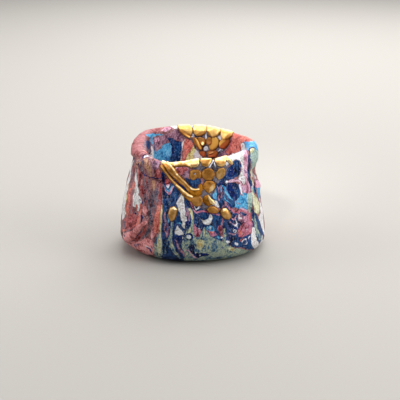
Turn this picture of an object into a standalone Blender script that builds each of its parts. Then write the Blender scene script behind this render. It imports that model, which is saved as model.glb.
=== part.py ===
"""A hand-built sake cup of marbled clay, mended at the front and the back of its mouth with gold lacquer.

Metres, with X to the right, Y away from the front, and Z up from the flat underside. The form is described
in millimetres, and directions round the cup in degrees from +X, so the front lies at -90.
"""

import math

import bmesh
import bpy
import numpy as np
from mathutils import Vector

MM = 0.001

# The pot as it is first turned, in millimetres, before it is pressed out of round
POT_RADIUS = 32.0
WALL = 4.6
FLOOR = 5.0
FOOT_ROUNDING = 7.0
INNER_ROUNDING = 6.0
LIP_CENTRE = 45.4

STEPS_ROUND = 68
UNDERSIDE_RINGS = 4
FOOT_RINGS = 6
WALL_RINGS = 14
LIP_RINGS = 6
INSIDE_RINGS = 9
FLOOR_RINGS = 4
WELD = 0.01

# The outside at each height: how far it reaches to the right, back, left and front, and how square its
# left end and its right end are, 2 being an ellipse
LEVELS = (
    (0.0, 33.2, 30.0, 30.4, 27.4, 2.1, 2.1),
    (8.0, 33.0, 31.2, 33.3, 30.0, 2.1, 2.1),
    (16.0, 32.0, 30.8, 32.7, 30.3, 2.1, 2.1),
    (24.0, 30.8, 29.6, 31.0, 29.4, 2.2, 2.2),
    (33.0, 28.8, 27.4, 28.9, 26.8, 2.4, 2.2),
    (40.0, 28.3, 26.2, 26.9, 24.6, 2.8, 2.1),
    (48.0, 28.3, 25.4, 26.2, 23.6, 3.2, 2.0),
)

# Places pressed outwards, or inwards below 0: direction, spread in degrees, height, reach up and down, and
# how far. The two ears are thickenings of the wall, and a corner or a hollow takes the whole wall with it.
RIGHT_CORNER = -38.0
LEFT_CORNER = -121.0
EARS_OUTSIDE = (
    (176.0, 34.0, 44.5, 4.2, 1.1),
    (-8.0, 30.0, 42.5, 5.0, 1.2),
)
EARS_INSIDE = (
    (-172.0, 44.0, 46.5, 6.0, -2.3),
    (-8.0, 30.0, 42.5, 5.0, -0.8),
)
CORNERS = (
    (LEFT_CORNER, 7.0, 22.0, 16.0, 0.6),
    (LEFT_CORNER - 16.0, 9.0, 26.0, 12.0, -0.7),
    (RIGHT_CORNER, 9.0, 38.0, 17.0, 1.1),
    (RIGHT_CORNER + 13.0, 7.0, 33.0, 10.0, -0.8),
)

# Slanting grooves in the outside: first end, last end, width and depth. One runs under the left ear and
# one is the dent across the lower left.
GROOVES = (
    ((176.0, 39.6), (-143.0, 47.0), 1.4, 0.9),
    ((-124.0, 15.5), (-144.0, 3.5), 3.0, 1.3),
)
GROOVE_RADIUS = 30.0

# How the lip rises and dips: direction, spread and height
LIP_WAVES = (
    (90.0, 64.0, 1.8),
    (168.0, 30.0, 0.6),
    (5.0, 26.0, 0.4),
    (-70.0, 40.0, -0.4),
    (-114.0, 34.0, -1.6),
)

# The flat underside and the foot keep their level, and the pressing fades in above them
FOOT_TOP = (1.0, 7.0)
LIP_WAVES_BEGIN = (14.0, 44.0)
WALL_BEGINS = (0.4, 0.8)

# The gold lacquer stands a hair off the clay. It is laid out on the unrolled wall: the direction, and
# millimetres down the outside from the top of the lip, less than 0 being down the inside.
LACQUER_GAP = 0.25
LACQUER = 0.45
VEIN_HEIGHT = 0.5
VEIN_WIDTH = 1.1
DISC_HEIGHT = 0.25
DISC_EDGE = 0.8
LACQUER_GRID = 1.5
MM_A_DEGREE = 0.46

FRONT_OUTLINE = (
    (-121.5, -3.0),
    (-123.0, 4.0),
    (-84.0, 21.5),
    (-74.0, 25.2),
    (-67.0, 23.0),
    (-50.0, 9.0),
    (-45.5, 2.0),
    (-47.0, -3.0),
)
FRONT_OPENING = ((-107.0, 5.4), (-93.5, 5.6), (-91.5, 11.5), (-97.5, 12.6))
FRONT_VEINS = (
    ((-121.0, 3.0), (-93.0, 16.0)),
    ((-119.0, 3.5), (-88.0, 19.0)),
    ((-114.0, 3.0), (-92.0, 15.5)),
)
FRONT_DISCS = (
    (-89.0, 7.0, 2.4),
    (-74.5, 7.0, 2.9),
    (-60.0, 6.5, 2.4),
    (-74.5, 13.0, 2.8),
    (-86.0, 18.3, 2.6),
    (-77.0, 19.0, 2.5),
)
BACK_OUTLINE = (
    (117.0, 2.0),
    (114.0, -2.5),
    (84.0, -14.5),
    (75.0, -21.0),
    (66.0, -18.5),
    (43.0, -6.5),
    (41.0, -1.0),
    (45.0, 5.0),
    (66.0, 10.0),
    (92.0, 9.0),
)
BACK_VEINS = (
    ((112.0, -2.5), (84.0, -14.5)),
    ((84.0, -14.5), (75.0, -21.0)),
)
BACK_DISCS = (
    (84.0, -7.0, 2.6),
    (69.0, -8.0, 2.9),
    (56.0, -7.0, 2.4),
    (80.0, -14.0, 2.4),
    (69.0, -14.5, 2.4),
)

# The drops: direction, distance down, half their width and length, and height
DROP_LEFT = (-107.0, 24.5, 2.1, 3.3, 1.3)
DROP_RIGHT = (-62.0, 25.0, 2.4, 3.0, 1.5)
DROP_TAPER = 0.3
DROP_SEGMENTS = 14
DROP_RINGS = 8


def bell(distance, width):
    """A smooth hump, 1 at its middle and almost 0 at twice its width."""
    return np.exp(-((distance / width) ** 2))


def smooth_step(value, low, high):
    share = np.clip((value - low) / (high - low), 0.0, 1.0)
    return share * share * (3.0 - 2.0 * share)


def turn_between(angle, middle):
    """The signed turn from one direction to another, the short way round."""
    return (angle - middle + 180.0) % 360.0 - 180.0


def curve_through(heights, reaches, z):
    """A smooth curve through the reach given at each height."""
    heights = np.array(heights)
    reaches = np.array(reaches)
    slopes = np.gradient(reaches, heights)
    i = np.clip(np.searchsorted(heights, z) - 1, 0, len(heights) - 2)
    span = heights[i + 1] - heights[i]
    t = np.clip((z - heights[i]) / span, 0.0, 1.0)
    start = (1.0 + 2.0 * t) * (1.0 - t) ** 2 * reaches[i] + t * (1.0 - t) ** 2 * slopes[i] * span
    end = t * t * (3.0 - 2.0 * t) * reaches[i + 1] - t * t * (1.0 - t) * slopes[i + 1] * span
    return start + end


def outline_radius(angle, z):
    """From the axis to the outside of the wall, before its folds and dents."""
    heights, *columns = zip(*LEVELS)
    right, back, left, front, left_square, right_square = (
        curve_through(heights, column, z) for column in columns
    )
    across = np.cos(np.radians(angle))
    along = np.sin(np.radians(angle))
    width = np.where(across > 0.0, right, left)
    depth = np.where(along > 0.0, back, front)
    square = np.where(across > 0.0, right_square, left_square)
    reach = abs(across / width) ** square + abs(along / depth) ** square
    return reach ** (-1.0 / square)


def swelling(places, angle, z):
    """How far the places listed push the wall out at each point."""
    push = 0.0
    for direction, spread, height, reach, amount in places:
        push = push + amount * bell(turn_between(angle, direction), spread) * bell(z - height, reach)
    return push


def grooves(angle, z):
    """How deep the slanting grooves are at each point."""
    depth = 0.0
    for first, last, width, deepest in GROOVES:
        across = np.radians(turn_between(angle, first[0])) * GROOVE_RADIUS
        up = z - first[1]
        run = math.radians(turn_between(last[0], first[0])) * GROOVE_RADIUS
        rise = last[1] - first[1]
        share = np.clip((across * run + up * rise) / (run * run + rise * rise), 0.0, 1.0)
        depth = depth + deepest * bell(np.hypot(across - share * run, up - share * rise), width)
    return depth


def lip_wave(angle):
    """How far the lip stands above or below its mean height."""
    return sum(rise * bell(turn_between(angle, direction), spread) for direction, spread, rise in LIP_WAVES)


def placed(points):
    """Turned points, in millimetres, moved to their place on the pressed cup, in metres."""
    radius = np.hypot(points[:, 0], points[:, 1])
    angle = np.degrees(np.arctan2(points[:, 1], points[:, 0]))
    z = points[:, 2]
    through_wall = np.where(z < FLOOR, 0.0, np.clip((POT_RADIUS - radius) / WALL, 0.0, 1.0))
    outside = swelling(EARS_OUTSIDE, angle, z) - grooves(angle, z)
    inside = swelling(EARS_INSIDE, angle, z)
    pressed = (1.0 - through_wall) * outside + through_wall * inside + swelling(CORNERS, angle, z)
    share = radius / POT_RADIUS
    pressed = pressed * smooth_step(z, *FOOT_TOP) * smooth_step(share, *WALL_BEGINS)
    moved = share * outline_radius(angle, z) + pressed
    lifted = z + lip_wave(angle) * smooth_step(z, *LIP_WAVES_BEGIN)
    turn = np.radians(angle)
    return np.stack((moved * np.cos(turn), moved * np.sin(turn), lifted), axis=1) * MM


def on_wall(angle, down, height):
    """Places on the pressed cup, in metres, given by direction, by distance down the outside from the top
    of the lip (less than 0 is down the inside), and by height off the surface."""
    bend = WALL / 2.0
    quarter_round = bend * math.pi / 2.0
    over_lip = np.clip(down, -quarter_round, quarter_round) / bend
    radius = POT_RADIUS - bend + (bend + height) * np.sin(over_lip)
    z = LIP_CENTRE + (bend + height) * np.cos(over_lip) - np.clip(abs(down) - quarter_round, 0.0, None)
    turn = np.radians(angle)
    return placed(np.stack((radius * np.cos(turn), radius * np.sin(turn), z), axis=1))


def quarter(centre, radius, first, last, count):
    """Points on an arc of the profile, its first end left out."""
    turns = np.radians(np.linspace(first, last, count + 1)[1:])
    return [(centre[0] + radius * math.cos(turn), centre[1] + radius * math.sin(turn)) for turn in turns]


def line(start, end, count):
    """Evenly spaced points from one place on the profile to another, the first left out."""
    return [tuple(point) for point in np.linspace(start, end, count + 1)[1:]]


def profile():
    """The turned profile, from the middle of the underside, up the outside, over the lip and down inside."""
    foot_edge = POT_RADIUS - FOOT_ROUNDING
    inner_radius = POT_RADIUS - WALL
    floor_edge = inner_radius - INNER_ROUNDING
    floor_bend = FLOOR + INNER_ROUNDING
    points = [(0.0, 0.0)]
    points += line((0.0, 0.0), (foot_edge, 0.0), UNDERSIDE_RINGS)
    points += quarter((foot_edge, FOOT_ROUNDING), FOOT_ROUNDING, -90.0, 0.0, FOOT_RINGS)
    points += line((POT_RADIUS, FOOT_ROUNDING), (POT_RADIUS, LIP_CENTRE), WALL_RINGS)
    points += quarter((POT_RADIUS - WALL / 2.0, LIP_CENTRE), WALL / 2.0, 0.0, 180.0, LIP_RINGS)
    points += line((inner_radius, LIP_CENTRE), (inner_radius, floor_bend), INSIDE_RINGS)
    points += quarter((floor_edge, floor_bend), INNER_ROUNDING, 0.0, -90.0, FOOT_RINGS)
    points += line((floor_edge, FLOOR), (0.0, FLOOR), FLOOR_RINGS)
    return points


def clear_scene():
    for obj in list(bpy.data.objects):
        bpy.data.objects.remove(obj)


def new_material(name, colour, roughness, metallic):
    material = bpy.data.materials.new(name)
    material.use_nodes = True
    shader = material.node_tree.nodes["Principled BSDF"]
    shader.inputs["Base Color"].default_value = (*colour, 1.0)
    shader.inputs["Roughness"].default_value = roughness
    shader.inputs["Metallic"].default_value = metallic
    return material


def new_object(name, edit, material):
    """An object made from a finished bmesh, shaded smooth."""
    mesh = bpy.data.meshes.new(name)
    edit.to_mesh(mesh)
    edit.free()
    mesh.shade_smooth()
    mesh.materials.append(material)
    obj = bpy.data.objects.new(name, mesh)
    bpy.context.scene.collection.objects.link(obj)
    return obj


def make_cup(material):
    """The cup, turned round its axis and then pressed into its uneven form."""
    edit = bmesh.new()
    chain = [edit.verts.new((radius, 0.0, z)) for radius, z in profile()]
    for a, b in zip(chain, chain[1:]):
        edit.edges.new((a, b))
    bmesh.ops.spin(
        edit,
        geom=edit.verts[:] + edit.edges[:],
        cent=(0.0, 0.0, 0.0),
        axis=(0.0, 0.0, 1.0),
        angle=2.0 * math.pi,
        steps=STEPS_ROUND,
        use_merge=True,
    )
    bmesh.ops.remove_doubles(edit, verts=edit.verts, dist=WELD)
    turned = np.array([vert.co for vert in edit.verts])
    for vert, place in zip(edit.verts, placed(turned)):
        vert.co = place
    bmesh.ops.recalc_face_normals(edit, faces=edit.faces)
    return new_object("cup_body", edit, material)


def cut_along(edit, outline, clear):
    """Cuts the flat grid along an outline's sides, and clears what lies beyond them if asked."""
    middle = Vector((*np.mean(outline, axis=0), 0.0))
    for a, b in zip(outline, outline[1:] + outline[:1]):
        side = Vector((b[1] - a[1], a[0] - b[0], 0.0))
        if side.dot(middle - Vector((*a, 0.0))) > 0.0:
            side.negate()
        geometry = edit.verts[:] + edit.edges[:] + edit.faces[:]
        bmesh.ops.bisect_plane(edit, geom=geometry, plane_co=(*a, 0.0), plane_no=side, clear_outer=clear)


def inside_outline(place, outline):
    """Whether a place on the unrolled wall lies inside an outline that has no hollows."""
    turns = []
    for (ax, ay), (bx, by) in zip(outline, outline[1:] + outline[:1]):
        turns.append((bx - ax) * (place[1] - ay) - (by - ay) * (place[0] - ax))
    return min(turns) > 0.0 or max(turns) < 0.0


def lacquer_height(place, veins, discs):
    """How thick the lacquer lies at a place: raised along its veins and over its discs."""
    direction, down = place
    height = LACQUER
    for start, end in veins:
        run = Vector(((end[0] - start[0]) * MM_A_DEGREE, end[1] - start[1]))
        reach = Vector(((direction - start[0]) * MM_A_DEGREE, down - start[1]))
        share = min(max(reach.dot(run) / run.length_squared, 0.0), 1.0)
        height = max(height, LACQUER + VEIN_HEIGHT * bell((reach - share * run).length, VEIN_WIDTH))
    for middle, depth, radius in discs:
        inwards = radius - math.hypot((direction - middle) * MM_A_DEGREE, down - depth)
        height = max(height, LACQUER + DISC_HEIGHT * float(smooth_step(inwards, 0.0, DISC_EDGE)))
    return height


def lay_on_wall(edit):
    """Moves a flat shape from the unrolled wall to its place on the cup. Distances on the wall count
    downwards, which mirrors the shape, so its faces are turned over."""
    bmesh.ops.recalc_face_normals(edit, faces=edit.faces)
    flat = np.array([vert.co for vert in edit.verts])
    for vert, place in zip(edit.verts, on_wall(flat[:, 0], flat[:, 1], flat[:, 2])):
        vert.co = place
    bmesh.ops.reverse_faces(edit, faces=edit.faces)


def make_mend(name, material, outline, veins, discs, opening=None):
    """A sheet of lacquer over the lip: a flat grid cut to its outline, thickened, and laid on the wall.
    Clay shows through its opening."""
    directions, downs = zip(*outline)
    width = max(directions) - min(directions)
    length = max(downs) - min(downs)
    columns = round(width * MM_A_DEGREE / LACQUER_GRID)
    rows = round(length / LACQUER_GRID)
    edit = bmesh.new()
    bmesh.ops.create_grid(edit, x_segments=columns, y_segments=rows, size=0.5)
    bmesh.ops.scale(edit, vec=(width, length, 1.0), verts=edit.verts)
    centre = (min(directions) + width / 2.0, min(downs) + length / 2.0, 0.0)
    bmesh.ops.translate(edit, vec=centre, verts=edit.verts)
    cut_along(edit, outline, clear=True)
    if opening:
        cut_along(edit, opening, clear=False)
        inner = [face for face in edit.faces if inside_outline(face.calc_center_median(), opening)]
        bmesh.ops.delete(edit, geom=inner, context="FACES")
    bmesh.ops.dissolve_degenerate(edit, dist=0.05, edges=edit.edges)
    raised = bmesh.ops.extrude_face_region(edit, geom=edit.faces[:], use_keep_orig=True)["geom"]
    top = {item for item in raised if isinstance(item, bmesh.types.BMVert)}
    for vert in edit.verts:
        vert.co.z = LACQUER_GAP
        if vert in top:
            vert.co.z += lacquer_height(vert.co[:2], veins, discs)
    lay_on_wall(edit)
    return new_object(name, edit, material)


def make_drop(name, material, direction, down, half_width, half_length, height):
    """A drop of lacquer: a dome with a flat back, narrower towards its lower end."""
    edit = bmesh.new()
    bmesh.ops.create_uvsphere(edit, u_segments=DROP_SEGMENTS, v_segments=DROP_RINGS, radius=1.0)
    geometry = edit.verts[:] + edit.edges[:] + edit.faces[:]
    bmesh.ops.bisect_plane(edit, geom=geometry, plane_co=(0, 0, 0), plane_no=(0, 0, -1), clear_outer=True)
    bmesh.ops.holes_fill(edit, edges=edit.edges, sides=0)
    for vert in edit.verts:
        taper = 1.0 - DROP_TAPER * max(vert.co.y, 0.0)
        vert.co.x = direction + vert.co.x * taper * half_width / MM_A_DEGREE
        vert.co.y = down + vert.co.y * half_length
        vert.co.z = LACQUER_GAP + vert.co.z * height
    lay_on_wall(edit)
    return new_object(name, edit, material)


clear_scene()
clay = new_material("marbled_clay", (0.36, 0.24, 0.30), roughness=0.55, metallic=0.0)
gold = new_material("gold_lacquer", (0.80, 0.55, 0.18), roughness=0.25, metallic=1.0)
make_cup(clay)
make_mend("gold_repair_front", gold, FRONT_OUTLINE, FRONT_VEINS, FRONT_DISCS, FRONT_OPENING)
make_mend("gold_repair_back", gold, BACK_OUTLINE, BACK_VEINS, BACK_DISCS)
make_drop("gold_drop_left", gold, *DROP_LEFT)
make_drop("gold_drop_right", gold, *DROP_RIGHT)
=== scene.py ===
import math

import bmesh
import bpy
import numpy as np
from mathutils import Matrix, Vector


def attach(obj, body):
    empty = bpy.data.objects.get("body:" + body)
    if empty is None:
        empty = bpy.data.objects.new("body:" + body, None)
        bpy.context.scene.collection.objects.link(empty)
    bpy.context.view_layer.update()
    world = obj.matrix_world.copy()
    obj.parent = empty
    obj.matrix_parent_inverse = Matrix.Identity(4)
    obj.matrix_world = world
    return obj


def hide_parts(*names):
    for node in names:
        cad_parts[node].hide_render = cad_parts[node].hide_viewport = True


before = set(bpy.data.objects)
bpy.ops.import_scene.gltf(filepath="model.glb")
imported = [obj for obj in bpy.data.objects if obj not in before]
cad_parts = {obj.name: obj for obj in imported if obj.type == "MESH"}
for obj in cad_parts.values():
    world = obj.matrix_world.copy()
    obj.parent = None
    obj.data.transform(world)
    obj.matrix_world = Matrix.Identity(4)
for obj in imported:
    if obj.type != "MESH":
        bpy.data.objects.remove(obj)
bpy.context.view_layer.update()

MM = 0.001


# The cup: one pot of marbled clay, turned or pinched thin and then pressed out of round by hand, so
# that it stands wide on its base, narrows to a waist under two soft ears, and rolls over at its lip.
# Its form follows the solid: a turned profile, in millimetres, moved to its place by direction and height.
POT_RADIUS = 32.0
WALL = 4.6
FLOOR = 5.0
FOOT_ROUNDING = 7.0
INNER_ROUNDING = 6.0
LIP_CENTRE = 45.4
# Each level: its height, how far the outside reaches to the right, back, left and front, and how square
# it is on the left and on the right
LEVELS = (
    (0.0, 33.2, 30.0, 30.4, 27.4, 2.1, 2.1),
    (8.0, 33.0, 31.2, 33.3, 30.0, 2.1, 2.1),
    (16.0, 32.0, 30.8, 32.7, 30.3, 2.1, 2.1),
    (24.0, 30.8, 29.6, 31.0, 29.4, 2.2, 2.2),
    (33.0, 28.8, 27.4, 28.9, 26.8, 2.4, 2.2),
    (40.0, 28.3, 26.2, 26.9, 24.6, 2.8, 2.1),
    (48.0, 28.3, 25.4, 26.2, 23.6, 3.2, 2.0),
)
RIGHT_CORNER = -38.0
LEFT_CORNER = -121.0
# Each swelling: its direction, its spread to the sides, its height, its spread up and down, and how far
# it pushes the wall out
EARS_OUTSIDE = (
    (176.0, 34.0, 44.5, 4.2, 1.1),
    (-8.0, 30.0, 42.5, 5.0, 1.2),
)
EARS_INSIDE = (
    (-172.0, 44.0, 46.5, 6.0, -2.3),
    (-8.0, 30.0, 42.5, 5.0, -0.8),
)
CORNERS = (
    (LEFT_CORNER, 7.0, 22.0, 16.0, 0.6),
    (LEFT_CORNER - 16.0, 9.0, 26.0, 12.0, -0.7),
    (RIGHT_CORNER, 9.0, 38.0, 17.0, 1.1),
    (RIGHT_CORNER + 13.0, 7.0, 33.0, 10.0, -0.8),
)
# Each groove: the direction and height of both its ends, its width and its depth
GROOVES = (
    ((176.0, 39.6), (-143.0, 47.0), 1.4, 0.9),
    ((-124.0, 15.5), (-144.0, 3.5), 3.0, 1.3),
)
GROOVE_RADIUS = 30.0
# Each wave: its direction, its spread and how far it lifts the lip
LIP_WAVES = (
    (90.0, 64.0, 1.8),
    (168.0, 30.0, 0.6),
    (5.0, 26.0, 0.4),
    (-70.0, 40.0, -0.4),
    (-114.0, 34.0, -1.6),
)
FOOT_TOP = (1.0, 7.0)
LIP_WAVES_BEGIN = (14.0, 44.0)
WALL_BEGINS = (0.4, 0.8)


def bell(distance, width):
    """A smooth hump, 1 at its middle and almost 0 at twice its width."""
    return np.exp(-((distance / width) ** 2))


def smooth_step(value, low, high):
    """0 up to the low value and 1 from the high one, rising smoothly between them."""
    share = np.clip((value - low) / (high - low), 0.0, 1.0)
    return share * share * (3.0 - 2.0 * share)


def turn_between(angle, middle):
    """The signed turn from one direction to another, the short way round."""
    return (angle - middle + 180.0) % 360.0 - 180.0


def curve_through(heights, reaches, z):
    """A smooth curve through the reach given at each height."""
    heights = np.array(heights)
    reaches = np.array(reaches)
    slopes = np.gradient(reaches, heights)
    i = np.clip(np.searchsorted(heights, z) - 1, 0, len(heights) - 2)
    span = heights[i + 1] - heights[i]
    t = np.clip((z - heights[i]) / span, 0.0, 1.0)
    start = (1.0 + 2.0 * t) * (1.0 - t) ** 2 * reaches[i] + t * (1.0 - t) ** 2 * slopes[i] * span
    end = t * t * (3.0 - 2.0 * t) * reaches[i + 1] - t * t * (1.0 - t) * slopes[i + 1] * span
    return start + end


def outline_radius(angle, z):
    """From the axis to the outside of the wall, before its folds and dents."""
    heights, *columns = zip(*LEVELS)
    right, back, left, front, left_square, right_square = (
        curve_through(heights, column, z) for column in columns
    )
    across = np.cos(np.radians(angle))
    along = np.sin(np.radians(angle))
    width = np.where(across > 0.0, right, left)
    depth = np.where(along > 0.0, back, front)
    square = np.where(across > 0.0, right_square, left_square)
    reach = abs(across / width) ** square + abs(along / depth) ** square
    return reach ** (-1.0 / square)


def swelling(places, angle, z):
    """How far the places listed push the wall out at each point."""
    push = 0.0
    for direction, spread, height, reach, amount in places:
        push = push + amount * bell(turn_between(angle, direction), spread) * bell(z - height, reach)
    return push


def grooves(angle, z):
    """How deep the slanting grooves are at each point."""
    depth = 0.0
    for first, last, width, deepest in GROOVES:
        across = np.radians(turn_between(angle, first[0])) * GROOVE_RADIUS
        up = z - first[1]
        run = math.radians(turn_between(last[0], first[0])) * GROOVE_RADIUS
        rise = last[1] - first[1]
        share = np.clip((across * run + up * rise) / (run * run + rise * rise), 0.0, 1.0)
        depth = depth + deepest * bell(np.hypot(across - share * run, up - share * rise), width)
    return depth


def lip_wave(angle):
    """How far the lip stands above or below its mean height."""
    return sum(rise * bell(turn_between(angle, direction), spread) for direction, spread, rise in LIP_WAVES)


def placed(points):
    """Turned points, in millimetres, moved to their place on the pressed cup."""
    radius = np.hypot(points[:, 0], points[:, 1])
    angle = np.degrees(np.arctan2(points[:, 1], points[:, 0]))
    z = points[:, 2]
    through_wall = np.where(z < FLOOR, 0.0, np.clip((POT_RADIUS - radius) / WALL, 0.0, 1.0))
    outside = swelling(EARS_OUTSIDE, angle, z) - grooves(angle, z)
    inside = swelling(EARS_INSIDE, angle, z)
    pressed = (1.0 - through_wall) * outside + through_wall * inside + swelling(CORNERS, angle, z)
    share = radius / POT_RADIUS
    pressed = pressed * smooth_step(z, *FOOT_TOP) * smooth_step(share, *WALL_BEGINS)
    moved = share * outline_radius(angle, z) + pressed
    lifted = z + lip_wave(angle) * smooth_step(z, *LIP_WAVES_BEGIN)
    turn = np.radians(angle)
    return np.stack((moved * np.cos(turn), moved * np.sin(turn), lifted), axis=1)


# The marbling and the folds are laid out as they are seen from the front, in the photo's 400 x 400
# pixels: the cup is looked down on from 0.6 m away, and the middle of its base shows at BASE_PIXEL.
# The shapes give their places and widths in tenths of a pixel, the places counted from TABLE_CORNER.
LOOK_DOWN = math.radians(18.3)
EYE_AWAY = 600.0
PIXELS_A_MM = 2.18
PHOTO_MIDDLE = 200.0
BASE_PIXEL = (193.0, 243.4)
EYE_UP = np.array((0.0, math.sin(LOOK_DOWN), math.cos(LOOK_DOWN)))
EYE_FORWARD = np.array((0.0, math.cos(LOOK_DOWN), -math.sin(LOOK_DOWN)))
AIM = EYE_UP * (BASE_PIXEL[1] - PHOTO_MIDDLE) / PIXELS_A_MM
AIM[0] = (PHOTO_MIDDLE - BASE_PIXEL[0]) / PIXELS_A_MM
EYE = AIM - EYE_FORWARD * EYE_AWAY
TABLE_CORNER = 100.0
LINE_ENDS = 0.55


def seen_at(points):
    """Where points on the cup, in millimetres, show in the photo's frame."""
    reach = points - EYE
    scale = PIXELS_A_MM * EYE_AWAY / (reach @ EYE_FORWARD)
    return PHOTO_MIDDLE + reach[:, 0] * scale, PHOTO_MIDDLE - (reach @ EYE_UP) * scale


def to_route(x, y, route):
    """From each place to the nearest point of a route, and how far along the route that is, 0 to 1."""
    nearest = np.full(x.shape, 1e9)
    along = np.zeros(x.shape)
    for i, ((ax, ay), (bx, by)) in enumerate(zip(route, route[1:])):
        run = (bx - ax, by - ay)
        share = np.clip(((x - ax) * run[0] + (y - ay) * run[1]) / (run[0] ** 2 + run[1] ** 2), 0.0, 1.0)
        away = np.hypot(x - ax - share * run[0], y - ay - share * run[1])
        along = np.where(away < nearest, (i + share) / (len(route) - 1), along)
        nearest = np.minimum(nearest, away)
    return nearest, along


def in_pixels(*tenths):
    """Places in pixels, from the tenths of a pixel across and down that a shape is given in."""
    pixels = [(number + 10.0 * TABLE_CORNER) / 10.0 for number in tenths]
    return tuple(zip(pixels[::2], pixels[1::2]))


def line(width, *route):
    """A ribbon along a route, narrower at both ends. Like every shape it is a distance, below 0 inside."""
    def distance(x, y):
        nearest, along = to_route(x, y, in_pixels(*route))
        middle = np.sqrt(np.sin(math.pi * along))
        return nearest - width / 20.0 * (LINE_ENDS + (1.0 - LINE_ENDS) * middle)
    return distance


def patch(*outline):
    """A patch inside an outline of straight runs."""
    corners = in_pixels(*outline)

    def distance(x, y):
        nearest, _ = to_route(x, y, corners + corners[:1])
        inside = np.zeros(x.shape, bool)
        for (ax, ay), (bx, by) in zip(corners, corners[1:] + corners[:1]):
            if ay != by:
                inside ^= ((ay > y) != (by > y)) & (x < ax + (y - ay) * (bx - ax) / (by - ay))
        return np.where(inside, -nearest, nearest)
    return distance


def dot(across, down, radius, tall=1.0):
    """A round dot, or an oval one that is taller or lower than it is wide."""
    middle = in_pixels(across, down)[0]
    return lambda x, y: np.hypot(x - middle[0], (y - middle[1]) / tall) - radius / 10.0


def ring(across, down, radius, width):
    """A ring, by its middle line and its width."""
    middle = in_pixels(across, down)[0]
    return lambda x, y: abs(np.hypot(x - middle[0], y - middle[1]) - radius / 10.0) - width / 20.0


def nearest_of(shapes, x, y):
    """The distance to the nearest of several shapes."""
    return np.min([shape(x, y) for shape in shapes], axis=0)


WAVE_COUNT = 9
WAVE_PITCHES = (0.7, 1.6)


def waves(points, size, amount, seed):
    """An uneven swell over points, in waves of about the size given, mostly within the amount given."""
    draw = np.random.default_rng(seed)
    swell = 0.0
    for _ in range(WAVE_COUNT):
        heading = draw.normal(size=points.shape[1])
        pitch = size * draw.uniform(*WAVE_PITCHES)
        phase = draw.uniform(0.0, 2.0 * math.pi)
        swell = swell + np.sin(points @ (heading / np.linalg.norm(heading)) * 2.0 * math.pi / pitch + phase)
    return swell * amount * 2.0 / WAVE_COUNT


# Folds pressed out of the wall, or into it below 0, as seen from the front: each row gives a shape, how
# high it stands in mm and how far it reaches in pixels
FOLDS = (
    (line(20, 485, 1215, 395, 1295, 290, 1385), 1.1, 4),
    (line(10, 446, 1266, 412, 1314, 384, 1358, 334, 1414), -2, 2.2),
    (line(6, 335, 588, 390, 578, 445, 562, 470, 566), -0.8, 1.6),
    (line(6, 408, 595, 420, 720, 438, 920, 470, 1080), -1, 1.7),
    (line(6, 504, 625, 510, 760, 522, 960, 536, 1120), -0.9, 1.6),
    (line(6, 346, 600, 326, 720, 305, 880), -0.9, 1.5),
    (line(10, 460, 600, 476, 700, 476, 860, 494, 1020), 0.9, 2.4),
    (line(10, 378, 600, 382, 700, 384, 860, 400, 1000), 0.8, 2.2),
    (line(10, 564, 800, 566, 960, 574, 1140), 0.6, 2.6), (line(6, 516, 774, 620, 784), -0.8, 1),
    (patch(540, 640, 596, 660, 610, 720, 590, 764, 536, 750), 0.5, 2),
    (line(6, 606, 670, 626, 740, 636, 820, 628, 960), -0.8, 1.4),
    (line(6, 1490, 500, 1498, 640, 1506, 780, 1520, 1000, 1518, 1220), -1.1, 1.5),
    (line(10, 1456, 580, 1454, 720, 1476, 900), 0.5, 2.6), (dot(1570, 705, 5), -2.3, 6),
    (dot(1580, 845, 5), 0.6, 4), (dot(1630, 1000, 10), -1, 7), (dot(1660, 1240, 20), -0.9, 8),
    (dot(250, 780, 10), -0.7, 7), (dot(180, 1190, 20), -0.9, 8), (dot(310, 556, 10), 0.5, 3.5),
    (line(10, 826, 980, 834, 1130, 846, 1260), 0.25, 2.4), (dot(1040, 1205, 10), -0.5, 2.4),
    (patch(260, 1170, 320, 1140, 370, 1190, 340, 1260, 270, 1280), -0.5, 2), (dot(294, 1256, 6), -0.8, 1.6),
    (dot(310, 1190, 5), -0.5, 1.3), (dot(288, 1230, 14, 0.7), 0.7, 1), (dot(242, 1300, 10), 0.5, 1.6),
    (dot(889, 1369, 16), 0.35, 1.4), (dot(1348, 1312, 8), 0.35, 1.4), (dot(1448, 1416, 16), 0.3, 1.6),
)
HAND_SWELL = (14.0, 0.28)
HAND_DIMPLES = (4.5, 0.12)
FRONT_ENDS = (87.0, 97.0)
FOLDS_BEGIN = (-1.0, 1.0)
# Where the lip sags: the direction, the spread and how far
LIP_SAGS = (
    (42.0, 27.0, -1.0),
    (-106.0, 21.0, -1.35),
    (-118.5, 9.0, -0.8),
    (-62.0, 13.0, -1.2),
)


def in_front(angle):
    """1 where the outside wall faces the front, fading to 0 just behind the cup's two ends."""
    return 1.0 - smooth_step(abs(turn_between(angle, -90.0)), *FRONT_ENDS)


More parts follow.
